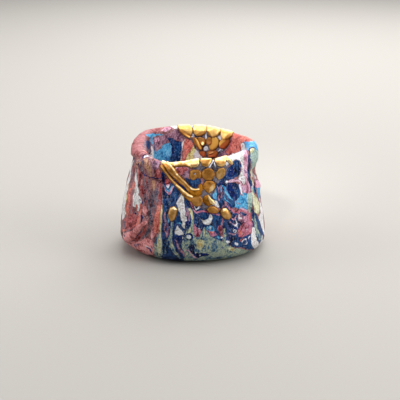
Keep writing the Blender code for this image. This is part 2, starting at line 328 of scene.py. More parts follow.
def formed(turned, down):
    """Turned points moved to their place on the finished cup, with its folds. Down is the distance over the
    surface from the top of the lip, down the outside, and less than 0 inside."""
    base = placed(turned)
    radius = np.hypot(base[:, 0], base[:, 1])
    angle = np.degrees(np.arctan2(base[:, 1], base[:, 0]))
    x, y = seen_at(base)
    folds = sum(height * bell(np.maximum(fold(x, y), 0.0), reach) for fold, height, reach in FOLDS)
    push = folds * in_front(angle) * smooth_step(down, *FOLDS_BEGIN)
    push = push + waves(base, *HAND_SWELL, seed=4) + waves(base, *HAND_DIMPLES, seed=5)
    push = push * smooth_step(turned[:, 2], *FOOT_TOP) * smooth_step(radius / POT_RADIUS, *WALL_BEGINS)
    base[:, :2] *= (1.0 + push / np.maximum(radius, 1.0))[:, None]
    sag = sum(rise * bell(turn_between(angle, direction), spread) for direction, spread, rise in LIP_SAGS)
    base[:, 2] += sag * smooth_step(turned[:, 2], *LIP_WAVES_BEGIN)
    return base


def on_wall(angle, down, height):
    """Places on the cup, given by direction, distance over the surface and height off it."""
    bend = WALL / 2.0
    quarter_round = bend * math.pi / 2.0
    over_lip = np.clip(down, -quarter_round, quarter_round) / bend
    radius = POT_RADIUS - bend + (bend + height) * np.sin(over_lip)
    z = LIP_CENTRE + (bend + height) * np.cos(over_lip) - np.clip(abs(down) - quarter_round, 0.0, None)
    turn = np.radians(angle)
    return formed(np.stack((radius * np.cos(turn), radius * np.sin(turn), z), axis=1), down)


# The clays that run through each other, as patches, streaks and dots seen from the front. Each clay
# covers those listed before it; the rose clay between them is the ground of the whole cup.
EAR_SKY = patch(
    1440, 410, 1490, 370, 1560, 380, 1620, 440, 1620, 510, 1574, 508, 1560, 498, 1544, 474, 1514, 468,
    1492, 490, 1476, 506, 1448, 486
)
EAR_STRAW = patch(1492, 510, 1502, 488, 1526, 474, 1546, 482, 1540, 504, 1520, 524, 1508, 550)
EAR_LEAF = patch(
    1496, 520, 1510, 490, 1534, 472, 1560, 486, 1580, 510, 1620, 510, 1590, 610, 1564, 680, 1534, 700,
    1516, 690, 1514, 620
)
# Painted highlight and painted shade at the fold of the left ear's lip: a white streak along its edge, drawn
# in the white clay, and a dark crease beside it, drawn in the ink clay
EAR_PAINTED_HIGHLIGHT = line(19, 440, 568, 470, 556, 504, 560, 540, 576)
EAR_PAINTED_CREASE_SHADE = line(9, 416, 576, 428, 558, 460, 540, 500, 539, 538, 557)
# Painted shade: the top of the left ear is drawn in a darker copy of the blush clay, where it faces the
# panel above
EAR_BLUSH_PAINTED_SHADE = patch(
    240, 260, 500, 270, 720, 220, 740, 276, 600, 316, 500, 324, 460, 340, 444, 400, 426, 460, 468, 530,
    510, 554, 416, 576, 360, 584, 240, 600
)
OUTSIDE = {
    "slate": (
        line(12, 343, 604, 340, 630, 346, 662),
        patch(410, 605, 434, 600, 442, 640, 444, 690, 440, 746, 420, 710, 410, 660),
        line(17, 442, 735, 444, 800, 443, 875),
        line(25, 474, 755, 480, 840, 471, 920, 478, 1000, 484, 1060, 498, 1100, 513, 1150, 516, 1210,
            508, 1260, 484, 1310, 452, 1360, 424, 1410, 380, 1454, 336, 1470),
        patch(456, 1444, 494, 1436, 530, 1460, 536, 1504, 504, 1526, 464, 1496),
        patch(548, 885, 576, 875, 585, 920, 582, 990, 564, 1030, 544, 1000, 540, 940),
        patch(504, 905, 534, 920, 538, 990, 526, 1060, 506, 1030),
        line(13, 344, 1118, 360, 1150, 373, 1184), line(15, 240, 1206, 243, 1250, 247, 1290),
        line(13, 319, 710, 315, 780, 311, 850), line(12, 366, 750, 374, 800, 382, 860),
        patch(464, 710, 488, 696, 494, 735, 474, 746), line(16, 623, 830, 628, 900, 630, 970, 626, 1050),
        patch(515, 1050, 546, 1040, 562, 1080, 546, 1136, 522, 1120),
        line(14, 484, 1438, 504, 1448, 524, 1470),
        patch(436, 875, 452, 880, 458, 960, 450, 1050, 438, 1000),
    ),
    "tan": (
        line(12, 373, 588, 374, 630, 370, 680), line(16, 387, 593, 402, 655, 412, 720),
        patch(426, 584, 464, 576, 496, 610, 510, 660, 518, 720, 514, 772, 494, 760, 474, 710, 448, 654),
        patch(518, 800, 546, 804, 551, 850, 547, 896, 534, 910, 520, 870),
        line(15, 300, 780, 283, 860, 268, 960, 257, 1060, 259, 1130),
        line(15, 620, 1050, 611, 1130, 602, 1210, 594, 1300, 586, 1360),
    ),
    "blush": (
        # The first patch is pink clay drawn pale along the raised ridge at the lower left: partly its own
        # colour and partly a painted highlight on the ridge
        patch(310, 1310, 360, 1260, 420, 1220, 470, 1204, 478, 1230, 424, 1270, 382, 1334, 338, 1398,
            290, 1420, 230, 1400, 234, 1340),
        patch(200, 1400, 290, 1430, 340, 1415, 400, 1410, 460, 1380, 500, 1396, 536, 1430, 538, 1540,
            460, 1560, 360, 1540, 240, 1480),
        line(17, 408, 784, 418, 810, 408, 840), line(15, 546, 582, 575, 600, 612, 612),
        line(14, 374, 695, 384, 760, 378, 830),
        patch(426, 1050, 460, 1060, 472, 1120, 454, 1160, 430, 1120),
        patch(524, 1260, 550, 1290, 546, 1370, 510, 1400, 502, 1340),
    ),
    "blush_with_painted_shade": (EAR_BLUSH_PAINTED_SHADE,),
    "navy": (
        patch(626, 710, 700, 760, 800, 860, 900, 960, 970, 1060, 1100, 1100, 1220, 1120, 1240, 1220,
            1210, 1330, 1120, 1370, 1000, 1370, 970, 1450, 1000, 1570, 900, 1620, 585, 1620, 624, 1520,
            616, 1420, 612, 1320, 622, 1150, 634, 970),
        patch(1320, 636, 1340, 608, 1370, 600, 1394, 616, 1408, 646, 1410, 690, 1396, 736, 1364, 772,
            1326, 792, 1290, 800, 1244, 826, 1170, 856, 1140, 840, 1214, 781, 1259, 725, 1278, 680),
        patch(1100, 840, 1170, 810, 1260, 820, 1330, 824, 1394, 844, 1408, 900, 1400, 966, 1364, 1000,
            1326, 1030, 1330, 1080, 1260, 1110, 1170, 1070, 1100, 970),
        patch(1210, 1120, 1260, 1070, 1340, 1116, 1430, 1120, 1470, 1160, 1440, 1240, 1390, 1300,
            1386, 1366, 1430, 1370, 1506, 1330, 1520, 1400, 1540, 1496, 1476, 1496, 1416, 1478, 1324, 1464,
            1276, 1436, 1254, 1360, 1220, 1240),
        patch(1479, 490, 1496, 496, 1506, 560, 1509, 620, 1506, 670, 1498, 706, 1504, 770, 1518, 840,
            1520, 1000, 1508, 1000, 1498, 880, 1478, 800, 1465, 746, 1470, 700, 1479, 630, 1482, 560),
        patch(1530, 854, 1546, 846, 1560, 890, 1570, 944, 1554, 944, 1540, 904),
        patch(1520, 1076, 1546, 1116, 1576, 1170, 1596, 1214, 1618, 1280, 1636, 1340, 1660, 1400,
            1610, 1460, 1576, 1460, 1564, 1400, 1546, 1320, 1520, 1270),
        patch(860, 760, 906, 794, 970, 790, 1006, 784, 1016, 820, 986, 850, 970, 885, 900, 875, 860, 830),
    ),
    "blue": (
        patch(1132, 618, 1146, 646, 1150, 680, 1112, 680, 1122, 648),
        patch(896, 786, 940, 806, 994, 800, 986, 836, 936, 844, 900, 826),
        patch(1366, 846, 1398, 854, 1406, 910, 1398, 970, 1370, 994, 1356, 940, 1364, 890),
        patch(1314, 650, 1338, 608, 1368, 606, 1376, 636, 1354, 660, 1328, 684),
        line(17, 1172, 880, 1183, 940, 1188, 990, 1220, 1040), line(12, 1114, 896, 1130, 940, 1126, 980),
        patch(766, 1116, 796, 1136, 806, 1190, 802, 1226, 772, 1240, 746, 1224, 754, 1170),
        patch(638, 960, 660, 950, 668, 1030, 662, 1100, 634, 1120, 632, 1040),
        patch(1006, 1146, 1046, 1130, 1088, 1146, 1090, 1170, 1056, 1190, 1018, 1178),
        patch(1124, 1144, 1176, 1156, 1216, 1186, 1210, 1234, 1168, 1268, 1134, 1250, 1136, 1190),
        patch(1164, 1326, 1202, 1354, 1230, 1390, 1218, 1424, 1174, 1410, 1114, 1386, 1146, 1366),
        patch(1310, 1376, 1346, 1406, 1404, 1408, 1420, 1456, 1384, 1464, 1326, 1456),
        patch(1466, 1446, 1494, 1402, 1516, 1410, 1542, 1494, 1460, 1494),
        patch(1534, 1110, 1560, 1148, 1594, 1210, 1620, 1290, 1640, 1360, 1616, 1374, 1594, 1310,
            1570, 1240, 1546, 1170),
        patch(1284, 996, 1330, 1004, 1364, 1024, 1360, 1076, 1314, 1072, 1282, 1040),
        line(13, 860, 1000, 874, 1036, 894, 1050), line(14, 714, 836, 750, 890, 786, 914),
        patch(736, 940, 766, 926, 780, 964, 758, 1006, 734, 990),
        patch(1470, 726, 1494, 724, 1500, 770, 1486, 776),
    ),
    "leaf": (
        patch(848, 1620, 840, 1540, 826, 1490, 820, 1440, 840, 1394, 854, 1346, 870, 1304, 892, 1276,
            908, 1242, 915, 1190, 908, 1144, 894, 1114, 875, 1088, 888, 1078, 908, 1080, 928, 1120,
            937, 1180, 939, 1250, 936, 1330, 946, 1368, 1002, 1366, 1014, 1326, 1028, 1288, 1042, 1266,
            1058, 1282, 1076, 1326, 1104, 1366, 1136, 1384, 1228, 1416, 1232, 1360, 1228, 1290, 1243, 1270,
            1258, 1296, 1258, 1374, 1270, 1436, 1324, 1470, 1410, 1486, 1470, 1504, 1540, 1504, 1500, 1620),
        patch(592, 1334, 614, 1380, 624, 1440, 628, 1520, 610, 1620, 550, 1620, 542, 1500, 546, 1430,
            568, 1382),
        line(29, 722, 1210, 717, 1260, 713, 1310, 708, 1360, 706, 1410, 714, 1460, 736, 1504, 764, 1540,
            796, 1586),
        line(10, 688, 1380, 670, 1430, 656, 1480, 648, 1540), line(17, 696, 1026, 689, 1054),
        line(17, 1546, 1156, 1554, 1220, 1566, 1280, 1586, 1334, 1612, 1384),
        line(13, 1532, 1190, 1542, 1240, 1568, 1300), line(20, 1564, 1310, 1580, 1360, 1600, 1400),
        line(12, 1548, 1366, 1566, 1410, 1574, 1440),
        patch(1528, 1286, 1550, 1290, 1554, 1340, 1536, 1360, 1524, 1320),
    ),
    "mint": (
        patch(1464, 928, 1506, 924, 1516, 1000, 1512, 1070, 1504, 1130, 1484, 1126, 1478, 1060, 1472, 990),
        EAR_LEAF, line(16, 1513, 890, 1519, 980, 1516, 1070), line(16, 1508, 686, 1534, 734, 1560, 786),
    ),
    "straw": (
        EAR_STRAW,
        patch(1528, 910, 1546, 946, 1570, 990, 1596, 1030, 1604, 1080, 1594, 1124, 1574, 1146, 1552, 1120,
            1538, 1084, 1528, 1020),
        line(15, 1509, 696, 1517, 760, 1522, 826), line(13, 1518, 860, 1528, 910, 1530, 960),
        patch(964, 1410, 1000, 1386, 1040, 1410, 1036, 1460, 1000, 1504, 966, 1484),
        patch(886, 1290, 908, 1264, 914, 1306, 900, 1328, 878, 1330),
        line(23, 892, 1086, 914, 1126, 924, 1194), line(10, 716, 1400, 724, 1460, 752, 1508, 786, 1556),
        patch(576, 1394, 604, 1370, 616, 1430, 618, 1500, 596, 1560, 572, 1520, 566, 1450),
        line(15, 617, 1050, 612, 1140, 608, 1240, 602, 1370), line(14, 1038, 1286, 1044, 1320, 1040, 1360),
        patch(1286, 1474, 1326, 1476, 1364, 1490, 1326, 1516, 1284, 1508), line(12, 1243, 1282, 1244, 1330),
        dot(870, 1532, 11),
    ),
    "ochre": (
        line(13, 619, 1060, 613, 1160, 608, 1260), line(12, 268, 930, 262, 1010),
        line(10, 902, 1104, 918, 1146, 922, 1190), dot(996, 1446, 13, 1.6), dot(1324, 1492, 14, 0.7),
    ),
    "sky": (
        patch(1360, 1010, 1396, 964, 1416, 930, 1440, 920, 1462, 928, 1474, 990, 1478, 1096, 1430, 1086,
            1380, 1080, 1346, 1076),
        EAR_SKY, patch(1566, 864, 1610, 860, 1610, 1010, 1588, 1004, 1576, 960),
        line(17, 682, 1146, 688, 1180, 682, 1220),
        patch(1124, 932, 1154, 912, 1168, 948, 1160, 990, 1134, 976),
        line(21, 1222, 852, 1250, 884, 1260, 930, 1294, 968, 1326, 1000),
        patch(1064, 1276, 1092, 1256, 1136, 1268, 1144, 1304, 1106, 1314, 1076, 1304),
        line(15, 643, 852, 664, 890, 684, 916, 706, 888, 724, 854),
        line(12, 760, 1236, 795, 1228, 824, 1240), line(12, 1526, 830, 1530, 880, 1544, 926),
        line(14, 1146, 896, 1163, 940, 1166, 996), line(13, 1198, 866, 1210, 914),
        line(14, 1234, 954, 1266, 1004, 1296, 1034), line(13, 693, 1014, 700, 1040),
        line(11, 804, 1076, 810, 1116), line(10, 742, 1480, 762, 1516), line(13, 1176, 1360, 1196, 1390),
    ),
    "chalk": (
        patch(1276, 564, 1314, 530, 1370, 490, 1450, 470, 1449, 600, 1446, 720, 1450, 800, 1452, 824,
            1440, 856, 1426, 836, 1406, 810, 1388, 790, 1400, 746, 1417, 690, 1414, 644, 1396, 610,
            1370, 594, 1338, 602, 1316, 630, 1296, 596),
        patch(812, 934, 833, 965, 843, 1000, 841, 1040, 851, 1080, 853, 1130, 847, 1154, 873, 1174,
            873, 1210, 855, 1233, 845, 1256, 851, 1284, 833, 1288, 819, 1256, 821, 1210, 807, 1178,
            801, 1140, 785, 1104, 773, 1060, 758, 1034, 781, 994, 800, 962),
        patch(777, 1248, 793, 1280, 813, 1308, 839, 1330, 837, 1349, 790, 1349, 750, 1334, 753, 1312,
            765, 1288),
        patch(344, 594, 328, 655, 311, 710, 301, 780, 288, 840, 273, 910, 261, 980, 251, 1060, 258, 1130,
            252, 1170, 234, 1196, 170, 1220, 170, 590),
        patch(358, 696, 367, 750, 374, 810, 382, 870, 389, 935, 405, 984, 417, 1020, 397, 1050, 393, 1096,
            384, 1114, 371, 1104, 369, 1056, 358, 1040, 354, 1079, 335, 1062, 327, 1024, 329, 960, 340, 916,
            349, 870, 351, 810, 345, 756),
        patch(990, 1176, 1022, 1196, 1054, 1196, 1088, 1178, 1094, 1142, 1116, 1152, 1124, 1186, 1116, 1222,
            1092, 1248, 1060, 1254, 1034, 1240, 1026, 1214),
        patch(1588, 980, 1630, 980, 1680, 1360, 1642, 1350, 1618, 1280, 1598, 1214, 1584, 1160, 1602, 1120,
            1606, 1060),
        patch(1522, 1268, 1554, 1280, 1562, 1320, 1556, 1360, 1568, 1400, 1594, 1440, 1584, 1480,
            1546, 1510, 1524, 1456, 1510, 1416, 1509, 1360, 1515, 1310),
        dot(288, 1232, 19, 0.7), line(10, 240, 1315, 243, 1370), line(9, 440, 1444, 480, 1468, 506, 1494),
        line(11, 1526, 820, 1527, 880),
        # Painted highlight: the next patch carries the white gleam at the lower end of the front mend's
        # bright ridge on over the clay
        patch(1140, 998, 1168, 1010, 1194, 1062, 1184, 1080, 1160, 1068, 1142, 1044),
        line(15, 836, 864, 860, 898, 888, 940), line(16, 1620, 1350, 1622, 1400, 1604, 1440),
    ),
    "mauve": (
        line(18, 650, 1116, 648, 1180, 658, 1236, 646, 1290, 662, 1340, 666, 1374),
        line(23, 744, 1400, 770, 1450, 806, 1500, 846, 1560),
        patch(504, 615, 575, 604, 602, 630, 592, 680, 550, 696, 512, 680),
        patch(336, 1450, 388, 1432, 398, 1456, 354, 1472),
        line(15, 874, 1076, 872, 1108, 889, 1140, 896, 1180, 886, 1224),
        line(16, 1204, 836, 1218, 890, 1217, 940, 1212, 984), line(13, 1273, 854, 1277, 910),
        line(15, 1184, 884, 1195, 940, 1192, 1004),
        patch(1252, 1002, 1276, 1028, 1268, 1056, 1234, 1078, 1212, 1074, 1234, 1042),
        patch(1380, 1146, 1416, 1136, 1444, 1166, 1436, 1210, 1410, 1236, 1386, 1200),
        patch(745, 675, 840, 666, 890, 680, 896, 760, 860, 770, 800, 740), line(15, 1535, 746, 1544, 816),
        line(13, 656, 728, 700, 778, 744, 822), line(12, 1366, 1026, 1396, 1044),
        line(15, 1450, 564, 1454, 620, 1450, 680, 1448, 750), line(14, 1160, 860, 1188, 878),
        line(16, 1228, 1180, 1222, 1250), line(16, 1290, 1336, 1344, 1346, 1380, 1320),
        patch(844, 1118, 864, 1120, 876, 1160, 856, 1166),
    ),
    "pink": (
        line(38, 1452, 494, 1460, 580, 1456, 660, 1453, 720, 1464, 790),
        patch(1450, 760, 1469, 784, 1487, 830, 1505, 870, 1507, 916, 1474, 930, 1436, 920, 1410, 884,
            1400, 828, 1422, 836, 1438, 858, 1454, 834),
        line(21, 1286, 818, 1330, 804, 1380, 806, 1414, 830),
        patch(1406, 1068, 1440, 1076, 1476, 1108, 1450, 1122, 1408, 1098),
        patch(1434, 1166, 1462, 1156, 1474, 1196, 1456, 1226, 1432, 1216),
        line(15, 633, 840, 658, 902, 684, 940, 710, 910, 734, 856),
        patch(656, 842, 684, 890, 708, 846, 684, 820),
        patch(1554, 808, 1610, 806, 1610, 870, 1572, 878, 1554, 864),
        line(13, 1294, 1224, 1324, 1242, 1356, 1252, 1382, 1228),
        line(15, 1308, 1182, 1340, 1196, 1364, 1162),
        line(14, 854, 1514, 880, 1504, 906, 1530, 930, 1566, 970, 1586),
        line(11, 1080, 1316, 1108, 1332, 1144, 1324), dot(768, 682, 14),
    ),
    "red": (
        patch(554, 700, 580, 680, 609, 700, 613, 750, 598, 782, 550, 780),
        line(15, 343, 660, 342, 690, 348, 720), patch(394, 715, 423, 735, 433, 780, 416, 788, 398, 750),
        patch(394, 840, 435, 855, 442, 920, 428, 970, 402, 905),
        line(16, 309, 900, 315, 980, 312, 1060, 320, 1130),
        line(21, 597, 800, 602, 900, 595, 990, 604, 1060),
        patch(246, 1190, 290, 1140, 340, 1130, 382, 1165, 392, 1220, 360, 1264, 310, 1294, 260, 1290,
            248, 1240),
        line(28, 470, 1256, 455, 1288, 435, 1328, 400, 1368, 358, 1406),
        line(14, 330, 1488, 380, 1504, 450, 1510),
        line(13, 453, 760, 458, 840, 456, 920, 463, 1000, 459, 1060),
        line(12, 676, 1240, 679, 1300, 668, 1360), patch(638, 766, 702, 772, 712, 824, 676, 844, 648, 826),
        patch(766, 690, 806, 668, 870, 672, 882, 706, 846, 716, 824, 748, 780, 740),
        line(12, 1406, 906, 1418, 964), line(13, 500, 1256, 536, 1310, 528, 1380),
    ),
    "rosy": (
        line(21, 903, 1016, 924, 1066, 946, 1110, 962, 1132, 990, 1118, 1024, 1106, 1064, 1112, 1106, 1126,
            1150, 1140, 1194, 1146),
        patch(938, 1234, 964, 1264, 984, 1288, 1012, 1298, 1012, 1332, 994, 1364, 964, 1368, 942, 1342,
            938, 1296),
        patch(1196, 1246, 1218, 1254, 1224, 1300, 1214, 1348, 1194, 1328, 1180, 1292),
        line(26, 1274, 1058, 1310, 1090, 1350, 1122, 1384, 1128, 1408, 1100, 1440, 1102, 1474, 1134),
        patch(1468, 1122, 1508, 1130, 1518, 1190, 1519, 1260, 1506, 1320, 1472, 1348, 1426, 1368,
            1392, 1372, 1374, 1336, 1382, 1300, 1406, 1260, 1432, 1226, 1458, 1230, 1478, 1196, 1466, 1154),
        dot(872, 1234, 13), patch(1086, 1316, 1116, 1330, 1158, 1322, 1166, 1348, 1134, 1368, 1102, 1354),
    ),
    "coral": (
        patch(333, 813, 350, 830, 349, 885, 334, 908, 320, 890, 326, 850),
        line(29, 304, 886, 288, 970, 278, 1060, 275, 1144),
        line(25, 404, 1048, 411, 1090, 398, 1130, 392, 1180, 380, 1228, 346, 1258),
        patch(220, 1288, 262, 1292, 258, 1312, 224, 1318),
        patch(586, 1040, 607, 1065, 603, 1160, 595, 1260, 582, 1334, 558, 1334, 534, 1310, 534, 1240,
            540, 1180, 557, 1120),
        line(14, 363, 1044, 368, 1070, 364, 1096),
        patch(1386, 1298, 1414, 1306, 1436, 1336, 1416, 1356, 1392, 1336),
        patch(1404, 1392, 1434, 1378, 1440, 1394, 1420, 1420, 1402, 1414),
        patch(580, 1390, 596, 1400, 590, 1430), line(13, 454, 1282, 436, 1318),
        line(12, 1076, 1304, 1108, 1320, 1140, 1314), line(14, 1556, 846, 1560, 874),
        line(14, 1488, 1140, 1506, 1180, 1508, 1230),
    ),
    "ground": (
        patch(965, 646, 990, 625, 1140, 580, 1285, 580, 1306, 640, 1264, 705, 1225, 776, 1166, 840,
            1146, 920, 1114, 944, 1098, 970, 1118, 1040, 1146, 1076, 1100, 1094, 1030, 1094, 996, 1060,
            1020, 950, 1020, 870, 1040, 800, 1020, 740, 998, 700, 930, 694, 916, 674),
    ),
    "ink": (
        patch(906, 1442, 934, 1440, 952, 1464, 950, 1492, 940, 1516, 954, 1528, 990, 1526, 1045, 1534,
            1098, 1542, 1080, 1562, 1015, 1570, 966, 1576, 922, 1544, 902, 1516, 891, 1486, 895, 1456),
        ring(889, 1369, 33, 14), dot(393, 1006, 9), dot(949, 744, 22), dot(352, 1133, 8),
        line(10, 417, 976, 425, 1014, 420, 1046), line(17, 410, 1154, 421, 1182, 410, 1210),
        line(10, 1020, 1260, 1054, 1266, 1094, 1258, 1120, 1240),
        patch(616, 715, 632, 720, 648, 765, 646, 815, 626, 830, 613, 790),
        line(22, 710, 758, 770, 824, 830, 872, 880, 934),
        # Painted shade: a dark line along the groove under the left ear, a dark spot in the hollow under its
        # lip, and the dark crease beside that lip
        line(10, 400, 698, 436, 740, 504, 772, 560, 780, 616, 787), dot(436, 564, 16, 0.7), EAR_PAINTED_CREASE_SHADE,
        # Painted shade: the second line here is a dark line in the slanting dent at the lower left
        line(9, 385, 600, 387, 680), line(11, 410, 1310, 392, 1344, 366, 1376),
        line(15, 466, 1470, 494, 1492, 516, 1524), line(12, 508, 1454, 528, 1488),
        patch(850, 1216, 884, 1210, 896, 1236, 880, 1262, 858, 1260),
        patch(746, 1356, 804, 1356, 834, 1374, 832, 1414, 804, 1430, 768, 1406),
        line(13, 740, 1220, 742, 1300, 736, 1380, 762, 1474, 816, 1560), line(14, 700, 1224, 694, 1260),
        patch(1270, 1360, 1326, 1364, 1366, 1386, 1330, 1406, 1310, 1440, 1288, 1398), dot(1348, 1312, 9),
        ring(1348, 1312, 25, 7), dot(1382, 1264, 10), line(13, 1290, 1164, 1324, 1216, 1366, 1226),
        line(12, 1284, 1260, 1330, 1270, 1378, 1288), dot(1226, 1480, 13), dot(1449, 1403, 10),
        ring(1448, 1416, 36, 8),
        patch(1264, 840, 1296, 826, 1344, 846, 1330, 900, 1360, 960, 1318, 980, 1284, 930, 1268, 886),
        patch(1284, 704, 1314, 668, 1360, 684, 1364, 730, 1316, 774, 1280, 760),
        patch(1174, 830, 1226, 814, 1264, 820, 1240, 850, 1190, 856),
        line(9, 1486, 494, 1504, 476, 1530, 468, 1556, 480, 1574, 506), line(12, 242, 1340, 245, 1366),
        line(10, 1252, 994, 1290, 1046, 1330, 1086),
    ),
    "white": (
        dot(889, 1369, 20), line(15, 1136, 598, 1116, 636, 1096, 676),
        line(8, 1134, 604, 1146, 636, 1154, 670), dot(949, 739, 9),
        patch(1252, 644, 1266, 614, 1286, 644, 1268, 664),
        line(14, 930, 1042, 946, 1074, 964, 1096, 984, 1082, 994, 1062), ring(1348, 1312, 15, 9),
        dot(1282, 1419, 19, 0.65), dot(1362, 1441, 14), dot(995, 1553, 10), dot(953, 1526, 7, 1.4),
        dot(984, 1280, 13, 0.6), dot(1476, 1293, 8), dot(1422, 1336, 8), line(13, 1485, 1394, 1499, 1358),
        ring(1448, 1418, 23, 9), line(14, 665, 854, 683, 884, 698, 852),
        line(10, 1334, 1248, 1368, 1256, 1378, 1280), line(12, 1356, 1186, 1366, 1226, 1362, 1260),
        line(10, 1394, 1144, 1398, 1184), line(17, 1400, 846, 1409, 890, 1418, 946), dot(1270, 819, 14),
        # Painted highlight: the white streak along the fold of the left ear's lip is drawn here in the white
        # clay
        EAR_PAINTED_HIGHLIGHT, dot(1216, 1378, 10), dot(1226, 1480, 6), line(9, 826, 1368, 822, 1396),
        dot(1102, 1278, 9), line(8, 1310, 1286, 1336, 1294), dot(1414, 1180, 8),
        line(8, 1526, 1184, 1532, 1224), line(9, 1512, 1360, 1516, 1410, 1530, 1456),
    ),
}
INSIDE = {
    "slate": (patch(444, 404, 460, 396, 456, 490, 444, 480), patch(460, 484, 498, 470, 506, 528, 478, 534)),
    "blush_with_painted_shade": (EAR_BLUSH_PAINTED_SHADE,),
    "blush": (
        line(13, 910, 586, 970, 577, 1014, 574),
        patch(1380, 330, 1460, 360, 1560, 396, 1510, 416, 1436, 394, 1360, 366),
    ),
    "navy": (
        patch(670, 378, 700, 382, 750, 394, 764, 412, 786, 412, 813, 420, 818, 460, 816, 520, 807, 565,
            796, 610, 792, 780, 684, 780, 704, 600, 715, 520, 715, 450, 696, 412, 672, 402),
        patch(456, 414, 480, 400, 509, 420, 504, 464, 484, 490, 466, 466),
    ),
    "blue": (
        patch(764, 436, 794, 430, 804, 480, 796, 546, 766, 550, 756, 490),
        patch(470, 420, 496, 424, 498, 458, 476, 466),
    ),
    "mint": (EAR_LEAF,),
    "straw": (EAR_STRAW,),
    "ochre": (
        patch(946, 456, 976, 488, 954, 520, 938, 560, 932, 610, 930, 780, 850, 780, 856, 610, 870, 560,
            896, 514, 916, 480),
    ),
    "sky": (
        line(21, 470, 356, 520, 349, 580, 351, 632, 352),
        line(28, 468, 352, 500, 360, 520, 386, 528, 420, 538, 460, 546, 510, 546, 570),
        patch(542, 526, 570, 506, 600, 482, 630, 452, 670, 430, 706, 422, 714, 460, 712, 520, 702, 580,
            690, 780, 530, 780),
        EAR_SKY,
    ),
    "chalk": (
        patch(505, 458, 518, 462, 535, 500, 543, 560, 540, 660, 508, 620, 503, 500),
        patch(826, 386, 848, 382, 844, 420, 830, 470, 821, 530, 816, 610, 814, 780, 796, 780, 806, 580,
            818, 500, 820, 430),
        patch(970, 482, 1000, 524, 1024, 570, 1020, 780, 932, 780, 936, 574, 944, 540, 958, 502),
        patch(1412, 428, 1442, 424, 1450, 470, 1450, 530, 1408, 526),
        patch(1260, 556, 1300, 522, 1370, 504, 1410, 498, 1400, 530, 1300, 560),
        patch(706, 270, 715, 210, 794, 190, 794, 294, 770, 296, 736, 286),
        patch(1326, 304, 1368, 306, 1368, 346, 1334, 366),
    ),
    "mauve": (
        patch(526, 372, 636, 368, 648, 334, 720, 316, 760, 298, 800, 316, 846, 374, 840, 398, 820, 414,
            786, 408, 750, 388, 670, 372, 674, 416, 630, 446, 570, 498, 546, 514, 534, 450),
        patch(1326, 414, 1366, 406, 1390, 450, 1366, 484, 1330, 470),
        patch(1170, 580, 1226, 506, 1270, 486, 1286, 530, 1260, 576, 1200, 640),
    ),
    "pink": (
        patch(540, 382, 586, 374, 596, 404, 564, 422, 544, 414),
        patch(600, 300, 660, 282, 710, 276, 714, 292, 650, 310), line(15, 1420, 382, 1470, 400, 1520, 414),
    ),
    "red": (
        line(18, 1408, 446, 1404, 486, 1374, 516),
        patch(1266, 494, 1304, 446, 1324, 494, 1312, 546, 1274, 570),
        line(16, 846, 516, 842, 570, 844, 640),
    ),
    "rosy": (patch(1306, 400, 1340, 376, 1386, 394, 1400, 430, 1374, 474, 1330, 490, 1300, 460),),
    "coral": (
        patch(1314, 410, 1346, 384, 1408, 410, 1406, 504, 1360, 524, 1310, 536, 1286, 524, 1304, 470),
        patch(846, 384, 872, 380, 914, 410, 944, 452, 918, 480, 886, 520, 864, 560, 854, 610, 850, 780,
            814, 780, 824, 600, 831, 520, 842, 460),
        patch(1340, 290, 1430, 320, 1540, 390, 1520, 416, 1454, 414, 1410, 420, 1366, 396, 1334, 386,
            1316, 420),
        patch(1276, 496, 1320, 492, 1376, 504, 1324, 526, 1276, 544, 1250, 530),
    ),
    "ink": (
        # Painted shade: the dark crease beside the left ear's lip is drawn here in the ink clay
        line(9, 1486, 494, 1504, 476, 1530, 468, 1556, 480, 1574, 506), EAR_PAINTED_CREASE_SHADE,
        line(15, 1176, 536, 1206, 494, 1220, 466), dot(784, 296, 10), line(10, 504, 474, 507, 516),
        line(12, 716, 416, 724, 480, 720, 560),
    ),
    "white": (
        # Painted highlight: the white streak along the left ear's lip is drawn here in the white clay
        EAR_PAINTED_HIGHLIGHT, patch(874, 160, 966, 160, 946, 274, 923, 306, 900, 274),
        line(16, 1065, 260, 1064, 330, 1066, 396), dot(1059, 486, 24, 1.1), dot(1199, 376, 22, 0.9),
        dot(934, 370, 18, 0.8), line(13, 1178, 516, 1210, 486, 1230, 504), dot(934, 346, 9),
        line(9, 1203, 300, 1203, 340),
    ),
    "ground": (
        patch(794, 180, 1360, 250, 1336, 320, 1296, 400, 1280, 460, 1240, 510, 1190, 550, 1130, 600,
            1050, 600, 1004, 550, 970, 504, 930, 450, 900, 400, 846, 366, 804, 320),
    ),
}

# How much of each clay is left where the photo doesn't reach: from none at 3 to most of it at 0
HIDDEN = {
    "slate": 0.9, "tan": 1.1, "blush": 0.8, "blush_with_painted_shade": 0.9, "navy": 0.3, "blue": 0.8, "leaf": 0.85,
    "mint": 1.15, "straw": 1.15, "ochre": 1.15, "sky": 0.95, "chalk": 1.0, "mauve": 0.95, "pink": 1.0,
    "red": 0.95, "rosy": 1.1, "coral": 1.0, "ink": 1.2, "white": 1.6, "ground": 3.0,
}
# There it lies in patches, by their size in mm and their amount, that wander and are drawn out up the wall
HIDDEN_PATCHES = (11.0, 1.6)
HIDDEN_WANDER = (9.0, 1.6)
HIDDEN_RUN = 0.3
HIDDEN_EDGE = 3.0
# Every edge seen wanders in two sizes of wave, by size and amount in pixels
EDGE_WANDER = ((9.0, 0.6), (3.4, 0.25))
# Where the inside is lost to sight: down behind the front lip, in pixels, and round its two ends
BELOW_SIGHT = (162.0, 171.0)
INSIDE_ENDS = (104.0, 114.0)
# How far down from the top of the lip the inside's clays reach, in mm: on average, more at the back, and
# how soft that edge is. Behind the ears they reach further: the turn, the spread and how far.
LIP_EDGE = (0.4, 1.6, 0.6)
LIP_BEHIND_EARS = (100.0, 11.0, 3.0)
FAR = 50.0


